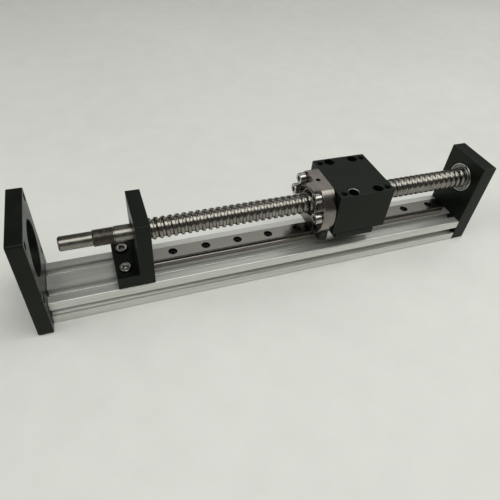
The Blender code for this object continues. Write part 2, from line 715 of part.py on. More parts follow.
def make_flange_screws(axis):
    screw = m5_screw_mesh("m5_flange_screw", 17.5 * MM)
    for name, degrees in FLANGE_SCREW_ANGLES.items():
        location = (FLANGE_FACE - GAP, *on_flange(degrees))
        add_part(f"flange_screw_{name}", screw, "stainless", location, (0, -math.pi / 2, 0), axis)


def corner_points(x_offset, y_offset):
    return [(x, y) for x in (-x_offset, x_offset) for y in (-y_offset, y_offset)]


def make_nut_housing(axis):
    size = (HOUSING_HIGH - HOUSING_LOW, HOUSING_WIDTH, HOUSING_TOP - HOUSING_BOTTOM)
    middle = (HOUSING_MIDDLE, 0, (HOUSING_TOP + HOUSING_BOTTOM) / 2)
    obj = add_part("nut_housing", box_mesh(size), "black_anodised", middle, parent=axis)
    bevel(obj, 0.4 * MM)
    bore = cylinder_profile(NUT_RADIUS + GAP, HOUSING_LOW - OVERCUT, HOUSING_HIGH + OVERCUT)
    cut(obj, turned_mesh(bore, 24), [pointing_x(0, 0, SCREW_Z)])
    counterbore = stepped_profile(
        3.9 * MM, 2.5 * MM, HOUSING_BOTTOM - OVERCUT, HOUSING_HEAD_SEAT, HOUSING_TOP + OVERCUT
    )
    screws = corner_points(HOUSING_SCREW_X, HOUSING_HOLE_Y)
    cut(obj, turned_mesh(counterbore, 12), [at(HOUSING_MIDDLE + x, y, 0) for x, y in screws])
    tapped = turned_mesh(cylinder_profile(2.3 * MM, HOUSING_TOP - 12 * MM, HOUSING_TOP + OVERCUT), 8)
    taps = corner_points(HOUSING_TAP_X, HOUSING_HOLE_Y)
    cut(obj, tapped, [at(HOUSING_MIDDLE + x, y, 0) for x, y in taps])
    hole = turned_mesh(cylinder_profile(2.8 * MM, -OVERCUT, 8 * MM), 12)
    cut(obj, hole, [pointing_x(HOUSING_LOW, *on_flange(angle)) for angle in FLANGE_SCREW_ANGLES.values()])
    screw = socket_screw_mesh("m4_housing_screw", 2 * MM, 23 * MM, 3.5 * MM, 4 * MM, 1.7 * MM)
    for number, (x, y) in enumerate(screws, 1):
        location = (HOUSING_MIDDLE + x, y, HOUSING_HEAD_SEAT + GAP)
        add_part(f"housing_screw_{number}", screw, "black_oxide", location, parent=axis)


def make_adapter_plate(axis):
    size = (CARRIAGE_BODY_LENGTH, HOUSING_WIDTH, ADAPTER_TOP - ADAPTER_BOTTOM)
    middle = (CARRIAGE_MIDDLE, 0, (ADAPTER_TOP + ADAPTER_BOTTOM) / 2)
    obj = add_part("adapter_plate", box_mesh(size), "black_anodised", middle, parent=axis)
    bevel(obj, 0.3 * MM)
    low, high = ADAPTER_BOTTOM - OVERCUT, ADAPTER_TOP + OVERCUT
    hole = turned_mesh(cylinder_profile(2.5 * MM, low, high), 12)
    housing_screws = corner_points(HOUSING_SCREW_X, HOUSING_HOLE_Y)
    cut(obj, hole, [at(HOUSING_MIDDLE + x, y, 0) for x, y in housing_screws])
    counterbore = stepped_profile(3.1 * MM, 1.9 * MM, low, ADAPTER_HEAD_SEAT, high)
    screws = corner_points(CARRIAGE_SCREW_OFFSET, CARRIAGE_SCREW_OFFSET)
    cut(obj, turned_mesh(counterbore, 12), [at(CARRIAGE_MIDDLE + x, y, 0) for x, y in screws])
    screw = socket_screw_mesh("m3_adapter_screw", 1.5 * MM, 5.6 * MM, 2.7 * MM, 2.6 * MM, 1.2 * MM)
    for number, (x, y) in enumerate(screws, 1):
        location = (CARRIAGE_MIDDLE + x, y, ADAPTER_HEAD_SEAT + GAP)
        add_part(f"adapter_screw_{number}", screw, "black_oxide", location, parent=axis)


def saddle_outline(half_width, bottom, top):
    """An upturned U in Y and Z that straddles the rail."""
    channel, roof, corner = RAIL_WIDTH / 2 + 0.4 * MM, RAIL_TOP + 0.5 * MM, 0.8 * MM
    right = [(channel, roof), (channel, bottom), (half_width, bottom), (half_width, top - corner)]
    right.append((half_width - corner, top))
    return right + [(-y, z) for y, z in reversed(right)]


def ball_row_points(side):
    """A ball row's loop: along the rail's groove, round in the end cap and back through the carriage."""
    height, inner, turn_radius = 25.3 * MM, 6.6 * MM, 1.9 * MM
    reach = CARRIAGE_BODY_LENGTH / 2 + GAP
    points = []
    for end in (1, -1):
        for step in range(7):
            angle = math.pi * step / 6
            y = inner + turn_radius - end * turn_radius * math.cos(angle)
            x = end * (reach + turn_radius * math.sin(angle))
            points.append((CARRIAGE_MIDDLE + x, side * y, height))
    return points


def make_rail_carriage(axis):
    section = saddle_outline(CARRIAGE_WIDTH / 2, CARRIAGE_BOTTOM, CARRIAGE_TOP)
    saddle = outline_mesh([section], CARRIAGE_BODY_LENGTH)
    body = add_part("carriage_body", saddle, "carriage_steel", (CARRIAGE_MIDDLE, 0, 0), ALONG_X, axis)
    track = [tube_mesh(ball_row_points(side), 1.3 * MM, cyclic=True) for side in (-1, 1)]
    for cutter in track:
        cut(body, cutter, [at(0, 0, 0)])
    hole = turned_mesh(cylinder_profile(1.9 * MM, CARRIAGE_TOP - 3.5 * MM, CARRIAGE_TOP + OVERCUT), 12)
    screws = corner_points(CARRIAGE_SCREW_OFFSET, CARRIAGE_SCREW_OFFSET)
    cut(body, hole, [at(CARRIAGE_MIDDLE + x, y, 0) for x, y in screws])
    section = saddle_outline(
        CARRIAGE_WIDTH / 2 - 0.4 * MM, CARRIAGE_BOTTOM + 0.2 * MM, CARRIAGE_TOP - 0.5 * MM
    )
    cap = outline_mesh([section], CARRIAGE_CAP_LENGTH)
    reach = CARRIAGE_BODY_LENGTH / 2 + GAP + CARRIAGE_CAP_LENGTH / 2
    for name, x in (("front", -reach), ("rear", reach)):
        place = (CARRIAGE_MIDDLE + x, 0, 0)
        obj = add_part(f"carriage_end_cap_{name}", cap, "green_plastic", place, ALONG_X, axis)
        for cutter in track:
            cut(obj, cutter, [at(0, 0, 0)])
    for name, side in (("near", -1), ("far", 1)):
        mesh = tube_mesh(ball_row_points(side), 1.0 * MM, cyclic=True)
        add_part(f"carriage_ball_row_{name}", mesh, "ball_steel", parent=axis)


def main():
    screw_axis = add_axis("screw_axis", (0, 0, SCREW_Z))
    carriage_axis = add_axis("carriage_axis", (HOUSING_MIDDLE, 0, SCREW_Z))
    front_cage_axis = add_axis("front_cage_axis", (SUPPORT_FACE, 0, SCREW_Z))
    rear_cage_axis = add_axis("rear_cage_axis", (END_PLATE_FACE, 0, SCREW_Z))
    make_base_extrusion()
    make_rail()
    make_motor_plate()
    make_end_plate()
    make_support_block()
    make_bearing("front", SUPPORT_FACE - BEARING_WIDTH - GAP, screw_axis, front_cage_axis)
    make_bearing("rear", END_PLATE_FACE + GAP, screw_axis, rear_cage_axis)
    make_ball_screw(screw_axis)
    make_circlip(screw_axis)
    make_ball_nut(carriage_axis)
    make_flange_screws(carriage_axis)
    make_nut_housing(carriage_axis)
    make_adapter_plate(carriage_axis)
    make_rail_carriage(carriage_axis)


clear_scene()
stage_parts = new_collection("ball_screw_stage")
cutters = new_collection("cutters")
main()
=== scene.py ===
"""The ball screw stage in full detail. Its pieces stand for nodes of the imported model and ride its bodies.

Meshes are drawn in millimetres and scaled to metres when they become pieces. X runs from the motor plate
to the end plate, and Z is up.
"""

import math

import bmesh
import bpy
from mathutils import Euler, Matrix, Vector


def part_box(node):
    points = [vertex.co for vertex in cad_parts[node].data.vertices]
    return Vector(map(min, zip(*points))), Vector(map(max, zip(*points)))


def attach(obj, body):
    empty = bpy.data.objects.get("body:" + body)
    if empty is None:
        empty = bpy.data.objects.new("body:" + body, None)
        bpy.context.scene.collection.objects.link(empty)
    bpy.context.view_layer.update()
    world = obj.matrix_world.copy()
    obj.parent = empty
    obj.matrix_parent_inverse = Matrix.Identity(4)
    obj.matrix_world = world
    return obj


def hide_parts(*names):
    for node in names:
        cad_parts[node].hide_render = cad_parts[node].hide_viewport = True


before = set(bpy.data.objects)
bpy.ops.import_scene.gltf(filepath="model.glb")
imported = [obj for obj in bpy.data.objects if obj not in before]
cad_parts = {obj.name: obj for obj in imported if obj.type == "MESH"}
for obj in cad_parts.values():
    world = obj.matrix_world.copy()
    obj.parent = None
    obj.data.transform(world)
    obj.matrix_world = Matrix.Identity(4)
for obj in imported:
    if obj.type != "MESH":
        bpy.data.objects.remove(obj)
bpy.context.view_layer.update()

MM = 0.001
OVER = 1.0  # how far a cutter passes a face


def extent(node):
    """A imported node's lowest and highest corners, in millimetres."""
    low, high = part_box(node)
    return low / MM, high / MM


def middle(node):
    """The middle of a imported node, in millimetres."""
    low, high = extent(node)
    return (low + high) / 2


SCREW_Z = round(middle("rear_bearing_outer_ring").z, 2)
PROFILE_TOP = round(extent("base_extrusion")[1].z, 2)
LEAD = 5.0
THREAD_LOW, THREAD_HIGH = -96.9, 166.9
CREST, JOURNAL = 7.7, 6.0
GROOVE_CENTRE = 3.35  # from a crest's start to the middle of the ball groove
BALL_PATH = 8.25  # radius of the nut's ball circuits
BEARING_BALL_PATH = 9.1
BEARING_WIDTH = 6.6  # with the gaps at its faces
SLOT_Y = 10  # of the slots in the profile's top and underside, and of its cores
RAIL_GROOVE_Z = 25.3
CHANNEL, CHANNEL_ROOF = 6.4, 28.5  # half width and top of the carriage's channel for the rail
HOUSING_HEAD_SEAT = 57
FLANGE_PITCH = 19  # radius of the flange's hole circle
FLANGE_HOLES = (0, 45, 135, 180, 225, 315)  # degrees up from +Y
FLANGE_SCREWS = {"near_upper": 135, "near_middle": 180, "far_upper": 45, "far_middle": 0}
SCREW_GAP = 0.3  # between a screw head and its seat
M5_HEAD = 5  # height of an M5 screw's head
# The black plates' finishes: the black body, and a lighter black on bevels and chamfers as painted edge
# highlights.
BLACK_PLATE = ["black_anodised", "edge_highlight_black"]
RAIL_HOLES = [middle(f"rail_screw_{number:02d}").x for number in range(1, 11)]


# ---------------------------------------------------------------- materials

def add_node(tree, kind, inputs=(), **settings):
    node = tree.nodes.new(kind)
    for key, value in settings.items():
        setattr(node, key, value)
    for key, value in dict(inputs).items():
        if isinstance(value, bpy.types.NodeSocket):
            tree.links.new(value, node.inputs[key])
        else:
            node.inputs[key].default_value = value
    return node


def place_vector(tree, scale):
    """Coordinates in the piece's own metres, stretched by scale along each axis."""
    source = add_node(tree, "ShaderNodeTexCoord").outputs["Object"]
    return add_node(tree, "ShaderNodeMapping", {"Vector": source, "Scale": scale}).outputs["Vector"]


def turned_vector(tree, axis, centre):
    """Coordinates for turned marks, in metres: along the axis and out from it."""
    source = add_node(tree, "ShaderNodeTexCoord").outputs["Object"]
    offset = add_node(tree, "ShaderNodeVectorMath", {0: source, 1: centre}, operation="SUBTRACT").outputs[0]
    parts = add_node(tree, "ShaderNodeSeparateXYZ", {0: offset}).outputs
    flat = [parts[name] for name in "XYZ" if name != axis]
    across = add_node(tree, "ShaderNodeCombineXYZ", {0: flat[0], 1: flat[1]}).outputs[0]
    radius = add_node(tree, "ShaderNodeVectorMath", {0: across}, operation="LENGTH").outputs["Value"]
    return add_node(tree, "ShaderNodeCombineXYZ", {0: parts[axis], 1: radius}).outputs[0]


def noise(tree, vector, scale, detail):
    inputs = {"Vector": vector, "Scale": scale, "Detail": detail, "Roughness": 0.55}
    return add_node(tree, "ShaderNodeTexNoise", inputs).outputs["Fac"]


def ranged(tree, value, low, high):
    """The sum of two noises, which is seldom outside 0.75 to 1.25, as a value from low to high."""
    inputs = {"Value": value, "From Min": 0.75, "From Max": 1.25, "To Min": low, "To Max": high}
    return add_node(tree, "ShaderNodeMapRange", inputs).outputs["Result"]


def blended(tree, share, first, second):
    """A colour between two others. The mix node's colours are its inputs 6 and 7 and its output 2."""
    inputs = {0: share, 6: (*first, 1), 7: (*second, 1)}
    return add_node(tree, "ShaderNodeMix", inputs, data_type="RGBA").outputs[2]


def bumped(tree, height, strength, distance):
    inputs = {"Height": height, "Strength": strength, "Distance": distance}
    return add_node(tree, "ShaderNodeBump", inputs).outputs["Normal"]


def finish_of(name, metallic, colours, roughness, marks, clouds, bumps, specular=0.5, tint=None):
    """A finish with fine marks and broad clouds of tone. colours and roughness are pairs that it varies
    between. marks and clouds are (vector maker, scale, detail), and bumps is (strength, depth in metres)."""
    material = bpy.data.materials.new(name)
    material.use_nodes = True
    tree = material.node_tree
    shader = tree.nodes["Principled BSDF"]
    fine = noise(tree, marks[0](tree), marks[1], marks[2])
    broad = noise(tree, clouds[0](tree), clouds[1], clouds[2])
    both = add_node(tree, "ShaderNodeMath", {0: fine, 1: broad}, operation="ADD").outputs[0]
    colour = blended(tree, ranged(tree, both, 0, 1), *colours)
    tree.links.new(colour, shader.inputs["Base Color"])
    tree.links.new(ranged(tree, both, *roughness), shader.inputs["Roughness"])
    tree.links.new(bumped(tree, fine, *bumps), shader.inputs["Normal"])
    shader.inputs["Metallic"].default_value = metallic
    shader.inputs["Specular IOR Level"].default_value = specular
    if tint:
        shader.inputs["Specular Tint"].default_value = (*tint, 1)
    return material


def plain(scale):
    """A maker of coordinates stretched by scale along each axis."""
    return lambda tree: place_vector(tree, scale)


def turned_about(axis, centre):
    """A maker of coordinates for the marks of turning about an axis."""
    return lambda tree: turned_vector(tree, axis, centre)


SCREW_LINE = (0, 0, SCREW_Z * MM)
grain = plain((1, 1, 1))
streaks_x = plain((0.02, 1, 1))
turned_x = turned_about("X", SCREW_LINE)
turned_z = turned_about("Z", (0, 0, 0))

FINISHES = {
    "black_anodised": finish_of(
        "black_anodised", 0.0, ((0.0035, 0.0046, 0.0034), (0.0075, 0.0094, 0.0072)), (0.28, 0.40),
        (grain, 5200, 4), (grain, 60, 3), (0.2, 0.00002), specular=0.17, tint=(0.86, 1.0, 0.82),
    ),
    # A lighter copy of the black for bevels and hole chamfers: painted edge highlights.
    "edge_highlight_black": finish_of(
        "edge_highlight_black", 0.0, ((0.006, 0.0075, 0.006), (0.020, 0.023, 0.020)), (0.28, 0.42),
        (grain, 2600, 4), (grain, 140, 3), (0.2, 0.00002), specular=0.22,
    ),
    # A bright metal finish for one counterbore's chamfer: a painted highlight on its rim.
    "rim_highlight_metal": finish_of(
        "rim_highlight_metal", 0.8, ((0.10, 0.105, 0.10), (0.46, 0.46, 0.44)), (0.25, 0.4),
        (grain, 1800, 4), (grain, 300, 3), (0.2, 0.00002),
    ),
    "aluminium_profile": finish_of(
        "aluminium_profile", 0.7, ((0.62, 0.63, 0.59), (0.79, 0.80, 0.76)), (0.30, 0.42),
        (streaks_x, 2400, 5), (streaks_x, 260, 3), (0.25, 0.00003),
    ),
    "rail_steel": finish_of(
        "rail_steel", 1.0, ((0.195, 0.187, 0.172), (0.265, 0.255, 0.236)), (0.15, 0.24),
        (streaks_x, 3600, 4), (streaks_x, 160, 3), (0.2, 0.00002),
    ),
    "ground_journal": finish_of(
        "ground_journal", 1.0, ((0.20, 0.19, 0.168), (0.30, 0.284, 0.258)), (0.23, 0.33),
        (turned_x, 3800, 4), (grain, 180, 3), (0.12, 0.00001),
    ),
    # A darker steel for the faces in the rail's ball groove.
    "dark_groove_steel": finish_of(
        "dark_groove_steel", 1.0, ((0.022, 0.020, 0.016), (0.060, 0.054, 0.044)), (0.2, 0.34),
        (streaks_x, 3000, 4), (streaks_x, 160, 3), (0.2, 0.00002),
    ),
    "unground_steel": finish_of(
        "unground_steel", 0.15, ((0.24, 0.215, 0.185), (0.34, 0.31, 0.27)), (0.4, 0.55),
        (grain, 2400, 4), (streaks_x, 200, 3), (0.3, 0.00003),
    ),
    "screw_steel": finish_of(
        "screw_steel", 1.0, ((0.21, 0.198, 0.176), (0.32, 0.303, 0.275)), (0.15, 0.25),
        (turned_x, 3200, 4), (grain, 180, 3), (0.04, 0.00001),
    ),
    "fine_thread": finish_of(
        "fine_thread", 1.0, ((0.14, 0.129, 0.110), (0.24, 0.223, 0.195)), (0.3, 0.44),
        (turned_x, 2600, 4), (grain, 400, 3), (0.1, 0.00002),
    ),
    "nut_steel": finish_of(
        "nut_steel", 1.0, ((0.18, 0.163, 0.147), (0.295, 0.27, 0.247)), (0.17, 0.28),
        (turned_x, 2800, 4), (grain, 120, 4), (0.2, 0.00002),
    ),
    # A bright steel for the thin ring at the nut's mouth: a painted highlight on the edge of the bore's
    # chamfer.
    "mouth_highlight_steel": finish_of(
        "mouth_highlight_steel", 1.0, ((0.46, 0.45, 0.42), (0.60, 0.59, 0.56)), (0.32, 0.44),
        (turned_x, 3400, 3), (grain, 240, 3), (0.15, 0.00002),
    ),
    "bearing_steel": finish_of(
        "bearing_steel", 1.0, ((0.40, 0.405, 0.385), (0.54, 0.54, 0.52)), (0.14, 0.26),
        (turned_x, 4200, 3), (grain, 200, 3), (0.15, 0.00001),
    ),
    "shield_steel": finish_of(
        "shield_steel", 1.0, ((0.22, 0.225, 0.205), (0.34, 0.345, 0.32)), (0.24, 0.36),
        (turned_x, 3000, 3), (grain, 300, 3), (0.2, 0.00002),
    ),
    "stainless_fastener": finish_of(
        "stainless_fastener", 1.0, ((0.34, 0.33, 0.305), (0.52, 0.51, 0.48)), (0.16, 0.28),
        (turned_z, 4200, 3), (grain, 400, 3), (0.2, 0.00002),
    ),
    "black_fastener": finish_of(
        "black_fastener", 0.6, ((0.014, 0.015, 0.014), (0.035, 0.037, 0.035)), (0.3, 0.5),
        (turned_z, 3600, 3), (grain, 500, 3), (0.25, 0.00002),
    ),
    "carriage_steel": finish_of(
        "carriage_steel", 1.0, ((0.38, 0.375, 0.355), (0.54, 0.535, 0.515)), (0.2, 0.33),
        (streaks_x, 3400, 4), (grain, 160, 3), (0.2, 0.00002),
    ),
    "green_plastic": finish_of(
        "green_plastic", 0.0, ((0.016, 0.026, 0.015), (0.030, 0.045, 0.027)), (0.38, 0.52),
        (grain, 3400, 4), (grain, 200, 2), (0.3, 0.00003), specular=0.3,
    ),
    "red_scraper": finish_of(
        "red_scraper", 0.0, ((0.018, 0.008, 0.006), (0.040, 0.016, 0.012)), (0.45, 0.6),
        (grain, 3000, 4), (grain, 220, 2), (0.3, 0.00003), specular=0.3,
    ),
    "wiper_plastic": finish_of(
        "wiper_plastic", 0.0, ((0.012, 0.012, 0.011), (0.028, 0.028, 0.026)), (0.4, 0.55),
        (grain, 3200, 3), (grain, 260, 2), (0.25, 0.00003),
    ),
    "ball_steel": finish_of(
        "ball_steel", 1.0, ((0.62, 0.62, 0.61), (0.72, 0.72, 0.71)), (0.08, 0.14),
        (grain, 2400, 3), (grain, 300, 2), (0.08, 0.00001),
    ),
    "zinc_steel": finish_of(
        "zinc_steel", 1.0, ((0.40, 0.41, 0.41), (0.55, 0.56, 0.57)), (0.3, 0.42),
        (grain, 2600, 4), (grain, 300, 3), (0.25, 0.00003),
    ),
}


# ---------------------------------------------------------------- mesh tools

def with_slots(mesh):
    """Gives a mesh three empty material slots, so that cutting keeps each face's finish number."""
    for _ in range(3):
        mesh.materials.append(None)
    return mesh


def mesh_of(shape):
    """Welds a bmesh, turns its faces outwards and returns it as a mesh, freeing the bmesh."""
    bmesh.ops.remove_doubles(shape, verts=shape.verts, dist=0.0015)
    bmesh.ops.dissolve_degenerate(shape, edges=shape.edges, dist=0.0005)
    bmesh.ops.recalc_face_normals(shape, faces=shape.faces)
    mesh = bpy.data.meshes.new("shape")
    shape.to_mesh(mesh)
    shape.free()
    return with_slots(mesh)


def lattice(columns, wrap=True, edge_bands=()):
    """A skin over columns of points. Each column joins the next, and with wrap the last joins the first.
    The bands whose numbers are listed take the second finish. On the black plates that finish is a lighter
    black, a painted edge highlight."""
    shape = bmesh.new()
    grid = [[shape.verts.new(point) for point in column] for column in columns]
    for left, right in zip(grid, grid[1:] + (grid[:1] if wrap else [])):
        for i in range(len(left) - 1):
            face = shape.faces.new((left[i], right[i], right[i + 1], left[i + 1]))
            face.material_index = 1 if i in edge_bands else 0
    return mesh_of(shape)


def angles_round(count):
    return [2 * math.pi * i / count for i in range(count)]


def on_circle(radius, angle, height):
    return Vector((radius * math.cos(angle), radius * math.sin(angle), height))


def turned(profile, steps=96, edge_bands=()):
    """A turned piece round local Z from (radius, height) points. A ring's profile ends where it starts."""
    angles = angles_round(steps)
    return lattice([[on_circle(radius, angle, z) for radius, z in profile] for angle in angles], edge_bands=edge_bands)


def thread_columns(tooth, lead, low, high, steps, limit):
    """The (radius, height) points of a thread at each angle, held between two heights. tooth is one pitch as
    (distance along, radius), and limit gives the largest radius at a height."""
    knots = tooth + [(tooth[0][0] + lead, tooth[0][1])]
    columns = []
    for step in range(steps + 1):
        turn = step / steps
        points = []
        for pitch in range(-1, math.ceil((high - low) / lead) + 1):
            for along, radius in tooth:
                place = low + lead * (pitch + turn) + along
                held = min(max(place, low), high)
                if held != place:
                    distance = knots[0][0] + (held - low - lead * turn - knots[0][0]) % lead
                    pair = next(p for p in zip(knots, knots[1:]) if distance <= p[1][0])
                    (x0, r0), (x1, r1) = pair
                    radius = r0 + (r1 - r0) * (distance - x0) / (x1 - x0)
                points.append((min(radius, limit(held)), held))
        columns.append(points)
    return columns


def threaded(tooth, lead, low, high, before, after, steps, limit):
    """A threaded piece round local Z. before holds the (radius, height) points below its thread, and
    after(angle) gives those above it."""
    columns = []
    for step, thread in enumerate(thread_columns(tooth, lead, low, high, steps, limit)):
        angle = 2 * math.pi * (step / steps)
        columns.append([on_circle(r, angle, z) for r, z in before + thread + after(angle)])
    return lattice(columns, wrap=False)


def rounded_edges(shape, width, segments, least=40, edge_finish=None):
    """Bevels every edge of a bmesh that is sharper than least degrees."""
    shape.normal_update()
    sharp = [e for e in shape.edges if len(e.link_faces) == 2 and e.calc_face_angle(0) > math.radians(least)]
    # Bevel faces take edge_finish. On the black plates it is the lighter black of the painted edge
    # highlights.
    extra = {} if edge_finish is None else {"material": edge_finish}
    bmesh.ops.bevel(
        shape, geom=sharp, offset=width, offset_type="OFFSET", segments=segments, profile=0.5,
        affect="EDGES", clamp_overlap=True, **extra,
    )


def block(low, high, edge, segments, edge_finish=None):
    """A box between two corners with rounded edges."""
    shape = bmesh.new()
    bmesh.ops.create_cube(shape, size=1)
    for vertex in shape.verts:
        vertex.co = Vector([a + (b - a) * (c + 0.5) for a, b, c in zip(low, high, vertex.co)])
    rounded_edges(shape, edge, segments, edge_finish=edge_finish)
    return mesh_of(shape)


def extruded(outline, low, high, edge=0.0, segments=2, edge_finish=None, least=40):
    """An outline in local X and Y, extruded along local Z between two heights, with rounded edges."""
    shape = bmesh.new()
    base = shape.faces.new([shape.verts.new((x, y, low)) for x, y in outline])
    grown = bmesh.ops.extrude_face_region(shape, geom=[base])["geom"]
    moved = [item for item in grown if isinstance(item, bmesh.types.BMVert)]
    bmesh.ops.translate(shape, verts=moved, vec=(0, 0, high - low))
    bmesh.ops.recalc_face_normals(shape, faces=shape.faces)
    if edge:
        rounded_edges(shape, edge, segments, least, edge_finish)
    return mesh_of(shape)


def arc(centre, radius, start, end, steps):
    """Points on an arc, from start to end degrees. Degree 0 is along the first axis."""
    angles = [math.radians(start + (end - start) * i / steps) for i in range(steps + 1)]
    return [(centre[0] + radius * math.cos(a), centre[1] + radius * math.sin(a)) for a in angles]


def rounded_plate(half, low, high, corner, start, end, edge):
    """A plate with rounded corners, half wide to each side in local X and from low to high in local Y,
    between two local heights."""
    outline = []
    for x, y, turn in ((half, low, -90), (half, high, 0), (-half, high, 90), (-half, low, 180)):
        centre = (x - math.copysign(corner, x), y + (corner if y == low else -corner))
        outline += arc(centre, corner, turn, turn + 90, 5)
    return extruded(outline, start, end, edge, 3, 1, 30)


def mirrored(half):
    """An outline from its right-hand side, given from the bottom to the top."""
    return half + [(-x, y) for x, y in reversed(half)]


def tube(points, radius, sides=16):
    """A closed loop of round tube along the points."""
    columns = []
    count = len(points)
    path = [Vector(point) for point in points]
    for i, point in enumerate(path):
        ahead = (path[(i + 1) % count] - path[i - 1]).normalized()
        side = ahead.cross(Vector((0, 0, 1))).normalized()
        up = side.cross(ahead)
        ring = [point + radius * (side * math.cos(a) + up * math.sin(a)) for a in angles_round(sides)]
        columns.append(ring + ring[:1])
    return lattice(columns)


def moved(mesh, matrix):
    """A copy of a mesh, moved by a matrix."""
    copy = mesh.copy()
    copy.transform(matrix)
    return copy


def joined(meshes):
    """Several meshes as one."""
    shape = bmesh.new()
    for mesh in meshes:
        shape.from_mesh(mesh)
    mesh = bpy.data.meshes.new("joined")
    shape.to_mesh(mesh)
    shape.free()
    return with_slots(mesh)


def cut(mesh, cutters):
    """Cuts closed meshes, which mustn't overlap each other, out of a mesh."""
    body = bpy.data.objects.new("body_to_cut", mesh)
    tool = bpy.data.objects.new("cutting_tool", joined(cutters))
    for obj in (body, tool):
        bpy.context.scene.collection.objects.link(obj)
    modifier = body.modifiers.new("cut", "BOOLEAN")
    modifier.operation = "DIFFERENCE"
    modifier.solver = "EXACT"
    modifier.object = tool
    bpy.context.view_layer.update()
    graph = bpy.context.evaluated_depsgraph_get()
    result = bpy.data.meshes.new_from_object(body.evaluated_get(graph))
    for obj in (body, tool):
        bpy.data.objects.remove(obj, do_unlink=True)
    return result


TO_X = Matrix(((0, 0, 1), (1, 0, 0), (0, 1, 0))).to_4x4()
TO_MINUS_X = Matrix(((0, 0, -1), (-1, 0, 0), (0, 1, 0))).to_4x4()
TO_MINUS_Y = Matrix(((1, 0, 0), (0, 0, -1), (0, 1, 0))).to_4x4()


def up_at(x, y, z):
    """Local Z upwards from a point."""
    return Matrix.Translation((x, y, z))


def x_at(x, y, z):
    """Local Z along +X, local X along +Y and local Y along +Z."""
    return Matrix.Translation((x, y, z)) @ TO_X


def minus_x_at(x, y, z):
    """Local Z along -X, local X along -Y and local Y along +Z."""
    return Matrix.Translation((x, y, z)) @ TO_MINUS_X


def bore(radius, low, high, chamfer=0.3, steps=64):
    """Cutter for a round hole that is chamfered at both faces."""
    flare = radius + chamfer + OVER
    profile = [(0, low - OVER), (flare, low - OVER), (radius, low + chamfer), (radius, high - chamfer)]
    # The two chamfer cones take the second finish, which is the painted edge highlight on the black plates.
    return turned(profile + [(flare, high + OVER), (0, high + OVER)], steps, edge_bands=(1, 3))


def stepped_bore(wide, narrow, low, seat, high, chamfer=0.3, steps=64):
    """Cutter for a counterbored hole, wide from the seat up, chamfered at its upper face."""
    profile = [(0, low - OVER), (narrow, low - OVER), (narrow, seat), (wide, seat), (wide, high - chamfer)]
    # The mouth's chamfer takes the second finish, which is the painted edge highlight on the black plates.
    return turned(profile + [(wide + chamfer + OVER, high + OVER), (0, high + OVER)], steps, edge_bands=(4,))


def m5_tapped_bore(low, high, through=True):
    """Cutter for a tapped M5 hole that opens at its upper face."""
    minor, major, pitch, chamfer = 2.1, 2.48, 0.8, 0.4
    start = low - OVER if through else low
    bottom = [(0, start)] if through else [(0, start - 0.3 * minor)]
    tooth = [(0, minor), (0.2 * pitch, minor), (0.45 * pitch, major), (0.6 * pitch, major)]
    top = high - chamfer
    mouth = [(major, top), (major + chamfer + OVER, high + OVER), (0, high + OVER)]
    return threaded(tooth, pitch, start, top, bottom, lambda angle: mouth, 32, lambda height: major)


def m5_counterbore(low, seat, high):
    """Cutter for a clearance hole with a counterbore for an M5 socket head."""
    return stepped_bore(4.65, 2.8, low, seat, high)


def socket_screw(radius, pitch, length, head_radius, head_height, key):
    """Socket head screw round local Z, with the head's underside at Z = 0 and a knurled head. key is the
    width of its hexagon across the flats."""
    steps = 48
    depth = 0.6 * pitch
    root = radius - depth
    tooth = [(0, radius), (0.12 * pitch, radius), (0.46 * pitch, root), (0.62 * pitch, root)]
    chamfer = 0.14 * head_radius
    knurl = 0.02 * head_radius
    start, end = -length, -0.28 * length

    def limit(height):
        return min(radius, root + (height - start))

    def head(angle):
        """The head's section, with its knurled side and its socket as they are at one angle."""
        step = round(angle / (2 * math.pi) * steps)
        side = head_radius - (knurl if step % 2 else 0)
        from_flat = (angle + math.pi / 6) % (math.pi / 3) - math.pi / 6
        socket = key / 2 / math.cos(from_flat)
        top = head_height
        floor = top - 0.55 * head_height
        return [
            (radius, end), (radius, -0.12 * radius), (1.06 * radius, 0), (head_radius - 0.5 * chamfer, 0),
            (head_radius, 0.5 * chamfer), (head_radius, 1.2 * chamfer), (side, 1.5 * chamfer),
            (side, top - 2.1 * chamfer), (head_radius, top - 1.7 * chamfer),
            (head_radius, top - 1.1 * chamfer), (head_radius - 0.3 * chamfer, top - 0.35 * chamfer),
            (head_radius - chamfer, top), (key * 0.62, top), (socket, top - 0.25), (socket, floor),
            (0, floor - 0.25 * key),
        ]

    return threaded(tooth, pitch, start, end, [(0, start)], head, steps, limit)


def m5_screw(length):
    """M5 socket head screw, a little under size so that it keeps clear of its hole."""
    return socket_screw(2.42, 0.8, length, 4.25, M5_HEAD, 4)


def spheres(centres, radius):
    """Separate balls in one mesh."""
    shape = bmesh.new()
    for centre in centres:
        bmesh.ops.create_uvsphere(
            shape, u_segments=20, v_segments=12, radius=radius, matrix=Matrix.Translation(centre)
        )
    mesh = bpy.data.meshes.new("balls")
    shape.to_mesh(mesh)
    shape.free()
    return mesh


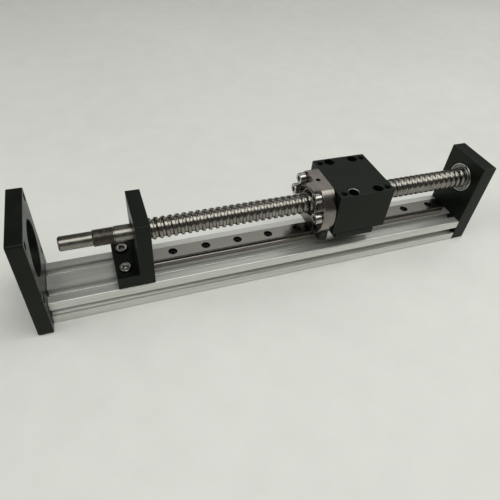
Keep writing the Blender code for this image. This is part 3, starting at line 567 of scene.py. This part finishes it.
def piece(name, mesh, finishes, body, nodes, matrix=None):
    """Makes a mesh in millimetres into a piece in metres that stands for the given nodes. A face's finish
    number picks from finishes. Pieces can share a mesh, each at its own matrix."""
    if not mesh.get("in_metres"):
        mesh.transform(Matrix.Scale(MM, 4))
        mesh["in_metres"] = True
        numbers = [face.material_index for face in mesh.polygons]
        mesh.materials.clear()
        for finish in finishes:
            mesh.materials.append(FINISHES[finish])
        mesh.polygons.foreach_set("material_index", [min(n, len(finishes) - 1) for n in numbers])
        mesh.shade_smooth()
        mesh.set_sharp_from_angle(angle=math.radians(38))
        mesh.name = name
    obj = bpy.data.objects.new(name, mesh)
    bpy.context.scene.collection.objects.link(obj)
    if matrix is not None:
        spot = matrix.copy()
        spot.translation = spot.translation * MM
        obj.matrix_world = spot
    weighted = obj.modifiers.new("even_shading", "WEIGHTED_NORMAL")
    weighted.keep_sharp = True
    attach(obj, body)
    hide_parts(*nodes)


# ---------------------------------------------------------------- the base

def t_slot(centre, along, inward):
    """One T-slot as outline points, from its low side along the face to its high side."""
    centre, along, inward = Vector(centre), Vector(along), Vector(inward)
    half = [(3.1, 0), (3.1, 1.8), (5.6, 1.9), (5.6, 3), (3, 6)]  # (half width, depth)
    across = [(-a, d) for a, d in half] + [(a, d) for a, d in reversed(half)]
    return [tuple(centre + a * along + d * inward) for a, d in across]


def make_profile():
    low, high = extent("base_extrusion")
    half, top = high.y, high.z
    corner = 0.9
    outline = [(-half + corner, 0)]
    outline += t_slot((-SLOT_Y, 0), (1, 0), (0, 1)) + t_slot((SLOT_Y, 0), (1, 0), (0, 1))
    outline += arc((half - corner, corner), corner, -90, 0, 4)
    outline += t_slot((half, top / 2), (0, 1), (-1, 0))
    outline += arc((half - corner, top - corner), corner, 0, 90, 4)
    outline += t_slot((SLOT_Y, top), (-1, 0), (0, -1)) + t_slot((-SLOT_Y, top), (-1, 0), (0, -1))
    outline += arc((-half + corner, top - corner), corner, 90, 180, 4)
    outline += t_slot((-half, top / 2), (0, -1), (1, 0))
    outline += arc((-half + corner, corner), corner, 180, 270, 4)[:-1]
    mesh = moved(extruded(outline, low.x, high.x, 0.22, 2), TO_X)
    hollow = rounded_plate(4, 4.5, 15.5, 1.6, low.x - OVER, high.x + OVER, 0)
    core = bore(2.75, low.x, high.x, 0.3, 32)
    cores = [moved(core, x_at(0, y, top / 2)) for y in (-SLOT_Y, SLOT_Y)]
    mesh = cut(mesh, [moved(hollow, TO_X)] + cores)
    drill = turned([(0, 16), (1.85, 16), (1.85, top + OVER), (0, top + OVER)], 24)
    mesh = cut(mesh, [moved(drill, up_at(x, 0, 0)) for x in RAIL_HOLES])
    piece("stage_profile", mesh, ["aluminium_profile"], "base", ["base_extrusion"])


def make_rail():
    low, high = extent("linear_rail")
    half, foot, top = high.y, low.z, high.z
    groove = arc((half + 0.6, RAIL_GROOVE_Z), 1.4, 245, 180, 5)
    groove += [(half - 1.1, 25.6), (half - 1.2, 26), (half - 1, 26.35), (half - 0.5, 26.5), (half, 26.5)]
    edge = 0.22
    side = [(half - 0.3, foot), (half, foot + 0.3)] + groove + [(half, top - edge), (half - edge, top)]
    mesh = moved(extruded(mirrored(side), low.x, high.x, 0.12, 2, least=60), TO_X)
    head_height = 3
    seat = extent("rail_screw_01")[1].z - head_height - SCREW_GAP
    cutter = stepped_bore(3, 1.9, foot, seat, top, 0.3, 48)
    mesh = cut(mesh, [moved(cutter, up_at(x, 0, 0)) for x in RAIL_HOLES])
    groove_low, groove_high, unground_top = 24.6, 26.55, 23.95
    # Faces in the ball groove take the darker second finish. The lower sides below the groove take the
    # unground finish.
    for face in mesh.polygons:
        level, aside = face.center.z, abs(face.center.y)
        if 4.6 < aside < half - 0.02 and abs(face.normal.x) < 0.5 and groove_low < level < groove_high:
            face.material_index = 1
        elif aside > 5 and abs(face.normal.y) > 0.6 and level < unground_top:
            face.material_index = 2
    piece("rail", mesh, ["rail_steel", "dark_groove_steel", "unground_steel"], "base", ["linear_rail"])
    screw = socket_screw(1.45, 0.5, 8, 2.65, head_height, 2.5)
    for number, x in enumerate(RAIL_HOLES, 1):
        node = f"rail_screw_{number:02d}"
        place = up_at(x, 0, seat + SCREW_GAP)
        piece(f"rail_cap_screw_{number:02d}", screw, ["black_fastener"], "base", [node], place)


def core_spots():
    """Side, Y and Z of the profile's cores, which the screws of the end plates go into."""
    level = middle("base_extrusion").z
    return [("near", -SLOT_Y, level), ("far", SLOT_Y, level)]


def make_motor_plate():
    low, high = extent("motor_plate")
    mesh = moved(rounded_plate(high.y, low.z, high.z, 1.7, low.x, high.x, 0.4), TO_X)
    width = high.x - low.x
    pilot_radius, offset = 19.05, 23.57
    cutters = [moved(bore(pilot_radius, 0, width, 0.4, 128), x_at(low.x, 0, SCREW_Z))]
    tapped = m5_tapped_bore(0, width)
    for y in (-offset, offset):
        for z in (-offset, offset):
            cutters.append(moved(tapped, x_at(low.x, y, SCREW_Z + z)))
    counterbore = m5_counterbore(-width, -M5_HEAD - SCREW_GAP, 0)
    cutters += [moved(counterbore, minus_x_at(low.x, y, z)) for _, y, z in core_spots()]
    piece("motor_mount_plate", cut(mesh, cutters), BLACK_PLATE, "base", ["motor_plate"])
    screw = m5_screw(18)
    for side, y, z in core_spots():
        place, node = minus_x_at(low.x + M5_HEAD, y, z), f"motor_plate_screw_{side}"
        piece(f"motor_mount_screw_{side}", screw, ["black_fastener"], "base", [node], place)


def bearing_seat(depth_behind):
    """Cutter for a bearing's seat with a smaller hole behind it. The seat's mouth is at Z = 0, facing up."""
    return stepped_bore(12.15, 9, -depth_behind, -BEARING_WIDTH, 0, 0.35, 96)


def make_end_plate():
    low, high = extent("end_plate")
    mesh = block(low, high, 0.6, 3, 1)
    width = high.x - low.x
    cutters = [moved(bearing_seat(width), minus_x_at(low.x, 0, SCREW_Z))]
    counterbore = m5_counterbore(-width, -M5_HEAD - SCREW_GAP, 0)
    cutters += [moved(counterbore, x_at(high.x, y, z)) for _, y, z in core_spots()]
    piece("end_support_plate", cut(mesh, cutters), BLACK_PLATE, "base", ["end_plate"])
    screw = m5_screw(20)
    for side, y, z in core_spots():
        place, node = x_at(high.x - M5_HEAD, y, z), f"end_plate_screw_{side}"
        piece(f"end_support_screw_{side}", screw, ["black_fastener"], "base", [node], place)


def make_support_block():
    low, high = extent("support_block")
    thickness, foot_top = 10, 30
    back = high.x - thickness
    outline = [(low.x, low.z), (high.x, low.z), (high.x, high.z), (back, high.z), (back, foot_top)]
    outline.append((low.x, foot_top))
    mesh = moved(extruded(outline, -high.y, -low.y, 0.4, 3, 1), TO_MINUS_Y)
    x = middle("support_screw_near").x
    seat = extent("support_screw_near")[1].z - M5_HEAD - SCREW_GAP
    cutters = [moved(bearing_seat(thickness), x_at(high.x, 0, SCREW_Z))]
    counterbore = m5_counterbore(low.z, seat, foot_top)
    cutters += [moved(counterbore, up_at(x, y, 0)) for y in (-SLOT_Y, SLOT_Y)]
    piece("screw_support_block", cut(mesh, cutters), BLACK_PLATE, "base", ["support_block"])
    screw = m5_screw(11.5)
    nut_low, nut_high = extent("t_nut_near")
    nut_top = nut_high.z - PROFILE_TOP
    nut_foot = nut_low.z - PROFILE_TOP
    half = [(3.4, nut_foot), (5, nut_foot + 1.9), (5, nut_top)]
    hole = bore(2.75, nut_low.z, nut_high.z, 0.2, 32)
    for side, y in (("near", -SLOT_Y), ("far", SLOT_Y)):
        place, node = up_at(x, y, seat + SCREW_GAP), f"support_screw_{side}"
        piece(f"foot_screw_{side}", screw, ["stainless_fastener"], "base", [node], place)
        nut = moved(extruded(mirrored(half), nut_low.x, nut_high.x, 0.2, 2), x_at(0, y, PROFILE_TOP))
        nut = cut(nut, [moved(hole, up_at(x, y, 0))])
        piece(f"slot_nut_{side}", nut, ["zinc_steel"], "base", [f"t_nut_{side}"])


# ---------------------------------------------------------------- bearings and screw

def make_races(side, width, place):
    """A bearing's outer and inner ring, drawn from its left face at Z = 0."""
    centre, groove = (BEARING_BALL_PATH, width / 2), 1.62
    outer, inner, corner = 12.0, 6.15, 0.35
    ring = [(10.6, 0.95), (10.8, 0.75), (10.8, 0.12), (10.92, 0), (outer - corner, 0), (outer, corner)]
    ring += [(outer, width - corner), (outer - corner, width), (10.92, width), (10.8, width - 0.12)]
    ring += [(10.8, width - 0.75), (10.6, width - 0.95)] + arc(centre, groove, 20, -20, 5) + [(10.6, 0.95)]
    mesh = moved(turned(ring), place)
    piece(f"{side}_outer_race", mesh, ["bearing_steel"], "base", [f"{side}_bearing_outer_ring"])
    ring = [(inner + corner, 0), (7.5, 0), (7.6, 0.12)] + arc(centre, groove, 200, 160, 5)
    ring += [(7.6, width - 0.12), (7.5, width), (inner + corner, width), (inner, width - corner)]
    ring += [(inner, corner), (inner + corner, 0)]
    mesh = moved(turned(ring), place)
    piece(f"{side}_inner_race", mesh, ["bearing_steel"], "screw", [f"{side}_bearing_inner_ring"])


def make_bearing(side):
    low, high = extent(f"{side}_bearing_outer_ring")
    width = high.x - low.x
    place = x_at(low.x, 0, SCREW_Z)
    make_races(side, width, place)
    dish = [(8.5, 0.75), (8.5, 0.3), (8.62, 0.16), (8.8, 0.12), (8.95, 0.2), (9.1, 0.36), (9.6, 0.4)]
    dish += [(9.8, 0.32), (9.95, 0.2), (10.15, 0.2), (10.3, 0.35), (10.36, 0.6), (10.55, 0.85), (10.4, 0.92)]
    dish += [(10.1, 0.75), (9.6, 0.7), (8.85, 0.62), (8.7, 0.75), (8.5, 0.75)]
    for end, shape in (("left", dish), ("right", [(r, width - z) for r, z in dish])):
        mesh, node = moved(turned(shape), place), f"{side}_bearing_seal_{end}"
        piece(f"{side}_shield_{end}", mesh, ["shield_steel"], "base", [node])
    ball, cage_low, cage_high = 1.45, width / 2 - 0.55, width / 2 + 0.55
    centres = [on_circle(BEARING_BALL_PATH, angle, width / 2) for angle in angles_round(11)]
    ribbon = turned([(9.0, cage_low), (9.25, cage_low), (9.25, cage_high), (9.0, cage_high), (9.0, cage_low)])
    cage = cut(ribbon, [spheres(centres, ball + 0.06)])
    mesh = moved(joined([spheres(centres, ball), cage]), place)
    piece(f"{side}_balls_and_cage", mesh, ["ball_steel"], f"{side}_cage", [f"{side}_bearing_ball_cage"])


def make_screw():
    """The screw along local Z: the drive end, the locknut's fine thread, a journal, the ball thread and the
    end journal with its centre holes and circlip groove."""
    low, high = extent("ball_screw")
    drive_end, locknut_end = -133.0, -118.8
    fine_end, centre_hole, centre_depth = locknut_end - 0.6, 1.6, 1.2
    drive = [
        (0, low.x + centre_depth), (centre_hole, low.x), (3.9, low.x), (4.2, low.x + 0.1),
        (4.95, low.x + 0.85), (5, low.x + 1.1), (5, drive_end - 0.6), (4.85, drive_end - 0.3),
        (4.85, drive_end), (5.3, drive_end),
    ]
    fine_tooth = [(0, 5.98), (0.14, 5.98), (0.48, 5.42), (0.62, 5.42)]
    journal = [
        (5.4, fine_end), (5.4, locknut_end - 0.1), (JOURNAL - 0.15, locknut_end),
        (JOURNAL, locknut_end + 0.15), (JOURNAL, THREAD_LOW),
    ]
    groove = arc((GROOVE_CENTRE, 8.1), 1.6, -162, -18, 12)
    first, last = groove[0][0], groove[-1][0] - LEAD
    tooth = [(last + 0.05, CREST - 0.03), (last + 0.16, CREST), (0.85, CREST)]
    tooth += [(first - 0.16, CREST), (first - 0.05, CREST - 0.03)] + groove
    circlip_low = extent("rear_circlip")[0].x - 0.25
    circlip_high, circlip_floor = circlip_low + 1.2, 5.5
    tail = [
        (JOURNAL, THREAD_HIGH), (JOURNAL, circlip_low), (circlip_floor, circlip_low),
        (circlip_floor, circlip_high), (JOURNAL, circlip_high), (JOURNAL, high.x - 0.9),
        (JOURNAL - 0.1, high.x - 0.75), (JOURNAL - 0.8, high.x), (centre_hole, high.x),
        (0, high.x - centre_depth),
    ]

    def fine_limit(place):
        return min(5.98, 5.35 + (place - drive_end))

    def limit(place):
        return min(CREST, 6.4 + 1.2 * (place - THREAD_LOW), 6.4 + 1.2 * (THREAD_HIGH - place))

    steps = 96
    fine = thread_columns(fine_tooth, 1.0, drive_end, fine_end, steps, fine_limit)
    thread = thread_columns(tooth, LEAD, THREAD_LOW, THREAD_HIGH, steps, limit)
    columns = []
    for step in range(steps + 1):
        angle = 2 * math.pi * step / steps
        points = drive + fine[step] + journal + thread[step] + tail
        columns.append([on_circle(r, angle, z) for r, z in points])
    mesh = lattice(columns, wrap=False)
    for face in mesh.polygons:
        place = face.center.z
        if drive_end + 0.1 < place < fine_end - 0.1:
            face.material_index = 1
        elif place < THREAD_LOW or place > THREAD_HIGH:
            face.material_index = 2
    finishes = ["screw_steel", "fine_thread", "ground_journal"]
    piece("rolled_ball_screw", moved(mesh, x_at(0, 0, SCREW_Z)), finishes, "screw", ["ball_screw"])


def make_circlip():
    """The circlip, open by 40 degrees to each side of local X and thickest opposite its opening."""
    low, high = extent("rear_circlip")
    opening = 40
    outline = []
    for degrees in range(opening, 361 - opening, 5):
        radius = 6.95 + 0.45 * math.cos(math.radians(degrees - 180))
        outline += arc((0, 0), radius, degrees, degrees, 1)[:1]
    outline += arc((0, 0), 5.8, 360 - opening, opening, 56)
    mesh = extruded(outline, low.x, high.x, 0.08, 1)
    piece("retaining_ring", moved(mesh, x_at(0, 0, SCREW_Z)), ["black_fastener"], "screw", ["rear_circlip"])


# ---------------------------------------------------------------- nut and carriage

def oil_hole(top):
    """Cutter for the nut's oil hole, whose inside takes the dark second finish as painted shade."""
    profile = [(0, top - 5.4), (1.65, top - 4.6), (1.65, top - 0.15), (1.8, top), (1.8, top + OVER)]
    mesh = turned(profile + [(0, top + OVER)], 40)
    # Every face takes the second finish: painted shade inside the hole.
    for face in mesh.polygons:
        face.material_index = 1
    return mesh


def make_nut():
    low, high = extent("ball_nut")
    flat = high.z - SCREW_Z
    width, length, edge = 10.0, high.x - low.x, 0.45
    radius, body = high.y, 13.9
    profile = [
        (10.9, 0.3), (11.2, 0), (radius - edge, 0), (radius, edge), (radius, width - edge),
        (radius - edge, width), (body + 0.5, width), (body, width + 0.5), (body, length - 1),
        (body - 1, length), (11.3, length), (11, length - 0.3), (11, length - 4), (10, length - 4), (10, 4),
        (10.9, 4), (10.9, 0.3),
    ]
    mesh = moved(turned(profile, 128), x_at(low.x, 0, SCREW_Z))
    slab_high = (low.x + width + OVER, radius + OVER, radius + OVER)
    slab = block((low.x - OVER, -radius - OVER, flat), slab_high, 0.01, 1)
    mesh = cut(mesh, [moved(slab, up_at(0, 0, z)) for z in (SCREW_Z, SCREW_Z - flat - radius - OVER)])
    hole = bore(2.75, 0, width, 0.35, 48)
    spots = [on_circle(FLANGE_PITCH, math.radians(degrees), 0) for degrees in FLANGE_HOLES]
    cutters = [moved(hole, x_at(low.x, spot.x, SCREW_Z + spot.y)) for spot in spots]
    cutters.append(moved(oil_hole(flat), up_at(low.x + 3.5, 0, SCREW_Z)))
    # The second finish paints the oil hole's inside dark as shade. It also falls on the chamfers of the
    # flange holes.
    piece("flanged_ball_nut", cut(mesh, cutters), ["nut_steel", "black_fastener"], "carriage", ["ball_nut"])
    # A thin ring of bright steel in the nut's mouth. It paints the highlight on the edge of the bore's
    # chamfer.
    ring = [(10.25, 1.1), (10.25, -0.6), (10.35, -0.8), (10.52, -0.87), (10.7, -0.8), (10.8, -0.6)]
    ring += [(10.8, 1.1), (10.25, 1.1)]
    mouth = moved(turned(ring, 128), x_at(low.x, 0, SCREW_Z))
    piece("nut_mouth_highlight_ring", mouth, ["mouth_highlight_steel"], "carriage", [])
    make_wipers(low.x, low.x + length)
    make_nut_balls()
    screw = m5_screw(17.5)
    for name, degrees in FLANGE_SCREWS.items():
        spot = on_circle(FLANGE_PITCH, math.radians(degrees), 0)
        place, node = minus_x_at(low.x - SCREW_GAP, spot.x, SCREW_Z + spot.y), f"flange_screw_{name}"
        piece(f"flange_cap_screw_{name}", screw, ["stainless_fastener"], "carriage", [node], place)


def make_wipers(front_face, rear_face):
    """The nut's wipers, each drawn inwards from its end of the nut."""
    wiper = [(8, 2.2), (8.4, 1.5), (9.2, 1.3), (9.5, 1.6), (10.2, 1.6), (10.45, 1.3), (10.7, 1.5)]
    wiper += [(10.7, 3.7), (8.3, 3.7), (8, 3.4), (8, 2.2)]
    front = moved(turned(wiper), x_at(front_face, 0, SCREW_Z))
    rear = moved(turned(wiper), minus_x_at(rear_face, 0, SCREW_Z))
    piece("front_wiper", front, ["wiper_plastic"], "carriage", ["nut_wiper_front"])
    piece("rear_wiper", rear, ["wiper_plastic"], "carriage", ["nut_wiper_rear"])


def make_nut_balls():
    """Three circuits of balls, each nine tenths of a turn long and two leads from the next."""
    first_turn, balls_in_circuit = 26, 16
    for number in range(3):
        centres = []
        for step in range(balls_in_circuit):
            turn = 0.05 + 0.9 * step / (balls_in_circuit - 1)
            x = THREAD_LOW + LEAD * (first_turn + 2 * number + turn) + GROOVE_CENTRE
            centres.append(on_circle(BALL_PATH, 2 * math.pi * turn, x))
        balls = moved(spheres(centres, 1.4), x_at(0, 0, SCREW_Z))
        piece(f"nut_balls_{number + 1}", balls, ["ball_steel"], "carriage", [f"ball_circuit_{number + 1}"])


def highlight_rim(low, high):
    """Cutter for the housing's counterbore whose chamfer takes a bright metal finish, a painted highlight on
    its rim.
    """
    mesh = stepped_bore(3.9, 2.5, low, HOUSING_HEAD_SEAT, high, 0.42)
    # The chamfer band moves to the third finish, the painted rim highlight.
    for face in mesh.polygons:
        face.material_index *= 2
    return mesh


def make_housing():
    low, high = extent("nut_housing")
    centre = (low + high) / 2
    mesh = block(low, high, 0.45, 3, 1)
    mesh = cut(mesh, [moved(bore(14.3, low.x, high.x, 0.4, 128), x_at(0, 0, SCREW_Z))])
    counterbore = stepped_bore(3.9, 2.5, low.z, HOUSING_HEAD_SEAT, high.z, 0.3)
    highlight_cutter = highlight_rim(low.z, high.z)
    tapped = m5_tapped_bore(high.z - 12, high.z, through=False)
    screw_x, tap_x, hole_y = 10, 18, 20
    cutters = []
    for y in (-hole_y, hole_y):
        for x in (-screw_x, screw_x):
            # Only the near-left counterbore gets the painted rim highlight.
            cutter = highlight_cutter if (x, y) == (-screw_x, -hole_y) else counterbore
            cutters.append(moved(cutter, up_at(centre.x + x, y, 0)))
        cutters += [moved(tapped, up_at(centre.x + x, y, 0)) for x in (-tap_x, tap_x)]
    mesh = cut(mesh, cutters)
    spots = [on_circle(FLANGE_PITCH, math.radians(degrees), 0) for degrees in FLANGE_SCREWS.values()]
    blind = turned([(0, -OVER), (2.8, -OVER), (2.8, 8), (0, 9)], 32)
    mesh = cut(mesh, [moved(blind, x_at(low.x, spot.x, SCREW_Z + spot.y)) for spot in spots])
    piece("nut_block", mesh, BLACK_PLATE + ["rim_highlight_metal"], "carriage", ["nut_housing"])
    screw = socket_screw(1.95, 0.7, 23, 3.5, 4, 3)
    for number in range(1, 5):
        spot, node = middle(f"housing_screw_{number}"), f"housing_screw_{number}"
        place = up_at(spot.x, spot.y, HOUSING_HEAD_SEAT + SCREW_GAP)
        piece(f"block_screw_{number}", screw, ["black_fastener"], "carriage", [node], place)


def make_adapter():
    low, high = extent("adapter_plate")
    seat = 35.1
    mesh = block(low, high, 0.3, 3, 1)
    counterbore = stepped_bore(3.1, 1.7, low.z, seat, high.z, 0.2, 48)
    hole = bore(2.3, low.z, high.z, 0.2, 32)
    screw = socket_screw(1.45, 0.5, 5.6, 2.7, 2.6, 2.5)
    cutters, holes = [], []
    for number in range(1, 5):
        spot, node = middle(f"adapter_screw_{number}"), f"adapter_screw_{number}"
        cutters.append(moved(counterbore, up_at(spot.x, spot.y, 0)))
        place = up_at(spot.x, spot.y, seat + SCREW_GAP)
        piece(f"adapter_cap_screw_{number}", screw, ["black_fastener"], "carriage", [node], place)
        spot = middle(f"housing_screw_{number}")
        holes.append(moved(hole, up_at(spot.x, spot.y, 0)))
    piece("adapter", cut(mesh, cutters + holes), BLACK_PLATE, "carriage", ["adapter_plate"])


def saddle(half, bottom, top, channel, roof, corner):
    """The section of a piece that sits astride the rail, with the rail's channel under its roof."""
    side = [(channel, roof), (channel, bottom), (half, bottom), (half, top - corner), (half - corner, top)]
    return mirrored(side)


def ball_loop(side):
    """A ball row's loop in a rail carriage: along the rail's groove and back through the carriage."""
    body_low, body_high = extent("carriage_body")
    reach = (body_high.x - body_low.x) / 2 + 0.3
    centre = (body_low.x + body_high.x) / 2
    inner, turn, steps = 6.6, 1.9, 8
    points = []
    for end in (1, -1):
        for step in range(steps + 1):
            angle = math.pi * step / steps
            x = centre + end * (reach + turn * math.sin(angle))
            y = inner + turn - end * turn * math.cos(angle)
            points.append(Vector((x, side * y, RAIL_GROOVE_Z)))
    return points


def along_loop(points, spacing):
    """Evenly spaced places on a closed loop."""
    ends = points[1:] + points[:1]
    total = sum((b - a).length for a, b in zip(points, ends))
    count = int(total / spacing)
    places, travelled, index = [], 0.0, 0
    for number in range(count):
        target = total * number / count
        while travelled + (ends[index] - points[index]).length < target:
            travelled += (ends[index] - points[index]).length
            index += 1
        length = (ends[index] - points[index]).length
        places.append(points[index].lerp(ends[index], (target - travelled) / length))
    return places


def make_end_cap(end, track):
    """An end cap of the rail carriage, and the thin scraper on its outer face."""
    low, high = extent(f"carriage_end_cap_{end}")
    seal, gap = 1.0, 0.02
    if end == "front":
        scraper, start, stop = low.x, low.x + seal, high.x
    else:
        scraper, start, stop = high.x - seal, low.x, high.x - seal
    section = saddle(high.y, low.z, high.z, CHANNEL, CHANNEL_ROOF, 1.0)
    mesh = moved(extruded(section, start + gap, stop - gap, 0.35, 3), TO_X)
    for cutter in track:
        mesh = cut(mesh, [cutter])
    piece(f"end_cap_{end}", mesh, ["green_plastic"], "carriage", [f"carriage_end_cap_{end}"])
    section = saddle(high.y - 0.3, low.z + 0.2, high.z - 0.3, CHANNEL - 0.2, CHANNEL_ROOF - 0.2, 1.0)
    mesh = moved(extruded(section, scraper, scraper + seal, 0.15, 2), TO_X)
    piece(f"end_scraper_{end}", mesh, ["red_scraper"], "carriage", [])


def make_rail_carriage():
    low, high = extent("carriage_body")
    section = saddle(high.y, low.z, high.z, CHANNEL, CHANNEL_ROOF, 0.8)
    mesh = moved(extruded(section, low.x, high.x, 0.25, 2), TO_X)
    track = [tube(ball_loop(side), 1.32) for side in (-1, 1)]
    for cutter in track:
        mesh = cut(mesh, [cutter])
    drill = turned([(0, high.z - 3.5), (1.75, high.z - 3), (1.75, high.z + OVER), (0, high.z + OVER)], 32)
    centre, offset = (low.x + high.x) / 2, 10
    spots = [(centre + x, y) for x in (-offset, offset) for y in (-offset, offset)]
    mesh = cut(mesh, [moved(drill, up_at(x, y, 0)) for x, y in spots])
    piece("rail_carriage", mesh, ["carriage_steel"], "carriage", ["carriage_body"])
    for end in ("front", "rear"):
        make_end_cap(end, track)
    for name, side in (("near", -1), ("far", 1)):
        balls = spheres(along_loop(ball_loop(side), 2.05), 0.95)
        piece(f"rail_balls_{name}", balls, ["ball_steel"], "carriage", [f"carriage_ball_row_{name}"])


# ---------------------------------------------------------------- the whole stage

make_profile()
make_rail()
make_motor_plate()
make_end_plate()
make_support_block()
make_bearing("front")
make_bearing("rear")
make_screw()
make_circlip()
make_nut()
make_housing()
make_adapter()
make_rail_carriage()


# ---------------------------------------------------------------- studio

def make_floor():
    """A pale floor just under the stage."""
    shape = bmesh.new()
    bmesh.ops.create_grid(shape, x_segments=8, y_segments=8, size=3)
    mesh = bpy.data.meshes.new("floor")
    shape.to_mesh(mesh)
    shape.free()
    floor = bpy.data.objects.new("floor", mesh)
    floor.location.z = -0.0001
    bpy.context.scene.collection.objects.link(floor)
    mesh.materials.append(
        finish_of(
            "pale_floor", 0.0, ((0.78, 0.79, 0.755), (0.82, 0.83, 0.795)), (0.5, 0.6),
            (grain, 40, 3), (grain, 3, 2), (0.05, 0.0001), specular=0.3,
        )
    )


def add_light(name, location, size, power):
    """A rectangular light that points at the origin."""
    data = bpy.data.lights.new(name, "AREA")
    data.shape = "RECTANGLE"
    data.size, data.size_y = size
    data.energy = power
    data.color = (0.99, 1.0, 0.965)
    light = bpy.data.objects.new(name, data)
    light.location = location
    light.rotation_euler = (-Vector(location)).to_track_quat("-Z", "Y").to_euler()
    bpy.context.scene.collection.objects.link(light)


def make_camera():
    data = bpy.data.cameras.new("camera")
    data.lens = 33.46
    data.sensor_width = 36
    data.clip_start = 0.01
    data.clip_end = 20
    camera = bpy.data.objects.new("camera", data)
    camera.location = (-0.12505, -0.24484, 0.26689)
    camera.rotation_euler = Euler([math.radians(a) for a in (46.38124, -4.134156, -19.488293)])
    bpy.context.scene.collection.objects.link(camera)
    bpy.context.scene.camera = camera


def make_studio():
    make_floor()
    add_light("overhead", (0.12, -0.42, 1.25), (1.34, 0.8), 8.4)
    add_light("left", (-1.15, 0.05, 0.95), (0.9, 0.9), 6.2)
    add_light("right", (1.15, 0.05, 0.95), (0.9, 0.8), 5.6)
    add_light("behind", (0.57, 0.92, 1.04), (1.25, 0.6), 1.85)
    world = bpy.data.worlds.new("studio")
    world.use_nodes = True
    background = world.node_tree.nodes["Background"]
    background.inputs["Color"].default_value = (1.0, 0.97, 0.91, 1)
    background.inputs["Strength"].default_value = 0.12
    bpy.context.scene.world = world
    bpy.context.scene.view_settings.view_transform = "Standard"
    make_camera()


make_studio()
